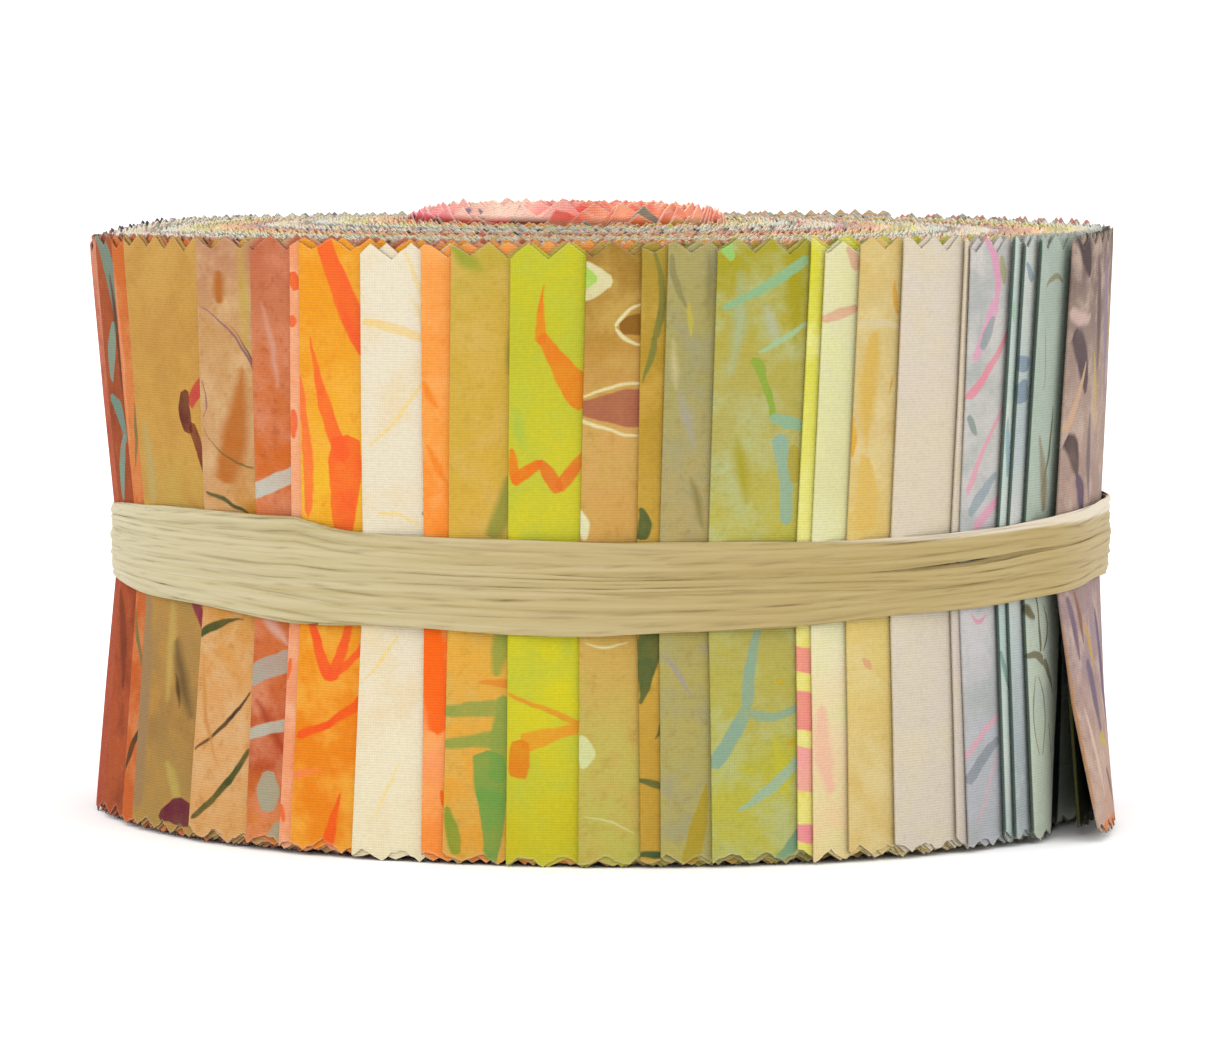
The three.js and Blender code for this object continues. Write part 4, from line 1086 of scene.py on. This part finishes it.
def make_raffia(sizes, winding, seed):
    """The tie: flattened, pleated raffia strands that lie over one another round the waist."""
    randoms = np.random.default_rng(seed)
    parts = []
    edges = np.array(BAND)
    for at, width, layer in STRANDS:
        mesh, flat = grid("raffia", STRAND_COLUMNS, STRAND_ROWS)
        bearing = flat[:, 0] * 180.0
        across = flat[:, 1]
        turn = np.radians(bearing)
        phases = randoms.random(8) * math.tau
        low = np.interp(bearing, edges[:, 0], edges[:, 1])
        high = np.interp(bearing, edges[:, 0], edges[:, 2])
        # The strand wanders up and down in the band, swells and narrows.
        drift = (0.045 * np.sin(2 * turn + phases[0]) + 0.045 * np.sin(3 * turn + phases[1])
                 + 0.012 * np.sin(9 * turn + phases[2]))
        swell = 1.0 + 0.18 * np.sin(2 * turn + phases[2]) + 0.12 * np.sin(5 * turn + phases[3])
        edge = 0.02 * np.sin(5 * turn + phases[6]) + 0.012 * np.sin(13 * turn + phases[7])
        share = np.clip(at + drift + across * width * swell / 2, 0.02 + edge, 0.98 + edge)
        height = low + (high - low) * share
        # Pleats run along it, and the hollows between them are given painted shade.
        wide = np.abs(np.sin(across * 3.0 + phases[4] + 1.8 * np.sin(2 * turn + phases[5])))
        narrow = np.abs(np.sin(across * 5.6 + phases[6] + 2.2 * np.sin(3 * turn + phases[7])))
        pleats = 0.17 * wide + 0.12 * narrow - 0.16
        hollow = np.maximum(1.0 - wide / 0.22, 0.0) + np.maximum(0.7 - narrow / 0.25, 0.0)
        dome = 0.18 * (1.0 - across ** 2)
        heave = 0.06 * np.sin(4 * turn + phases[3]) + 0.05 * np.sin(9 * turn + phases[1])
        _, wall, _ = winding.settle(bearing, np.full(len(bearing), winding.radius + STRAND_LIFT), height)
        # It rides over the folds that stand out at the left, and over the loose end at the right.
        over_folds = 0.34 * ease(bearing, -46.0, -38.0) * ease(bearing, -26.0, -33.0)
        over_loose = 1.05 * ease(bearing, 53.0, 60.0) * ease(bearing, 78.0, 62.0)
        radius = wall + over_folds + over_loose + np.maximum(layer + dome + pleats + heave, -0.03)
        put_points(mesh, bearing, radius, height)
        offset = 100.0 * len(parts)
        put_uv(mesh, np.stack([turn * winding.radius + offset, height + offset], axis=1))
        pale_from = 0.98 - 0.16 * ease(bearing, 15.0, 76.0)
        bleached = ease(share - pale_from, 0.0, 0.03) * ease(bearing, 8.0, 40.0) * ease(bearing, 179.0, 120.0)
        put_values(mesh, "hollow", hollow)
        put_values(mesh, "tone", ease(bearing, -75.0, 35.0) * ease(bearing, 179.0, 100.0))
        put_values(mesh, "pale", bleached)
        weld = bmesh.new()
        weld.from_mesh(mesh)
        bmesh.ops.remove_doubles(weld, verts=weld.verts, dist=1e-7)
        weld.to_mesh(mesh)
        weld.free()
        parts.append(thickened("raffia", mesh, sizes.thickness))
    with bpy.context.temp_override(active_object=parts[0], selected_editable_objects=parts):
        bpy.ops.object.join()
    parts[0].name = "raffia"
    return parts[0]


class ROLL_OT_strips(bpy.types.Operator):
    """Winds the folded strips"""
    bl_idname = "strip_roll.strips"
    bl_label = "Wind Strips"

    def execute(self, context):
        sizes = context.scene.roll_sizes
        winding = Winding(sizes)
        randoms = np.random.default_rng(ROLL_SEED)
        for order, row in enumerate(STRIPS):
            strip, length = make_strip(sizes, winding, order, row, randoms)
            strip.data.materials.clear()
            strip.data.materials.append(batik_cotton(row[0]))
            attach(strip, "root")
            if row[0] == LOOSE_STRIP:
                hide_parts("loose_end")
            else:
                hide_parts("wound_strips")
        return {"FINISHED"}


class ROLL_OT_raffia(bpy.types.Operator):
    """Ties the roll with raffia"""
    bl_idname = "strip_roll.raffia"
    bl_label = "Tie Raffia"

    def execute(self, context):
        raffia = make_raffia(context.scene.raffia_sizes, Winding(context.scene.roll_sizes), RAFFIA_SEED)
        raffia.data.materials.clear()
        raffia.data.materials.append(dried_raffia(context.scene.raffia_sizes))
        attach(raffia, "root")
        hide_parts("raffia_tie")
        return {"FINISHED"}


class ROLL_OT_studio(bpy.types.Operator):
    """Lays the floor, and sets the light and the camera"""
    bl_idname = "strip_roll.studio"
    bl_label = "Set Studio"

    def execute(self, context):
        scene = context.scene
        sizes = scene.studio_sizes
        scene.view_settings.view_transform = "Standard"

        # A matt white tabletop of painted board.
        board, tree = new_material("matt_white_board")
        surface = node(tree, "ShaderNodeBsdfPrincipled", {
            "Base Color": linear("#FAFAFA"), "Roughness": 0.9, "Specular IOR Level": 0.2})
        node(tree, "ShaderNodeOutputMaterial", {"Surface": surface.outputs[0]})
        shape = bmesh.new()
        bmesh.ops.create_circle(shape, cap_ends=True, segments=96, radius=12.0)
        floor_mesh = bpy.data.meshes.new("floor")
        shape.to_mesh(floor_mesh)
        shape.free()
        floor = bpy.data.objects.new("floor", floor_mesh)
        floor_mesh.materials.append(board)
        scene.collection.objects.link(floor)

        world = bpy.data.worlds.new("soft_white_room")
        scene.world = world
        world.use_nodes = True
        world.node_tree.nodes.clear()
        sky = node(world.node_tree, "ShaderNodeBackground", {
            "Color": (1.0, 1.0, 1.0, 1.0), "Strength": sizes.sky})
        node(world.node_tree, "ShaderNodeOutputWorld", {"Surface": sky.outputs[0]})

        lamp = bpy.data.lights.new("key", "AREA")
        lamp.energy = sizes.key
        lamp.size = 0.6
        key = bpy.data.objects.new("key", lamp)
        key.matrix_world = (
            Matrix.Rotation(math.radians(-10), 4, "Z") @ Matrix.Rotation(math.radians(52), 4, "X")
            @ Matrix.Translation((0, 0, 0.9)))
        scene.collection.objects.link(key)

        optics = bpy.data.cameras.new("camera")
        optics.sensor_width = 36.0
        optics.lens = sizes.lens
        optics.clip_end = 50.0
        camera = bpy.data.objects.new("camera", optics)
        camera.matrix_world = (
            Matrix.Translation((0, -sizes.distance, sizes.height)) @ Matrix.Rotation(-sizes.yaw, 4, "Z")
            @ Matrix.Rotation(math.pi / 2 - sizes.pitch, 4, "X") @ Matrix.Rotation(sizes.roll, 4, "Z"))
        scene.collection.objects.link(camera)
        scene.camera = camera
        return {"FINISHED"}


class ROLL_PT_panel(bpy.types.Panel):
    """Sizes and steps of the strip roll"""
    bl_label = "Strip Roll"
    bl_idname = "ROLL_PT_panel"
    bl_space_type = "VIEW_3D"
    bl_region_type = "UI"
    bl_category = "Strip Roll"

    def draw(self, context):
        for group in (context.scene.roll_sizes, context.scene.raffia_sizes, context.scene.studio_sizes):
            for name in group.__annotations__:
                self.layout.prop(group, name)
        for operator in OPERATORS:
            self.layout.operator(operator.bl_idname)


OPERATORS = (ROLL_OT_strips, ROLL_OT_raffia, ROLL_OT_studio)
CLASSES = (RollSizes, RaffiaSizes, StudioSizes, *OPERATORS, ROLL_PT_panel)


def register():
    for cls in CLASSES:
        bpy.utils.register_class(cls)
    bpy.types.Scene.roll_sizes = bpy.props.PointerProperty(type=RollSizes)
    bpy.types.Scene.raffia_sizes = bpy.props.PointerProperty(type=RaffiaSizes)
    bpy.types.Scene.studio_sizes = bpy.props.PointerProperty(type=StudioSizes)


def unregister():
    del bpy.types.Scene.roll_sizes
    del bpy.types.Scene.raffia_sizes
    del bpy.types.Scene.studio_sizes
    for cls in reversed(CLASSES):
        bpy.utils.unregister_class(cls)


def main():
    register()
    bpy.ops.strip_roll.strips()
    bpy.ops.strip_roll.raffia()
    bpy.ops.strip_roll.studio()


if __name__ == "__main__":
    main()
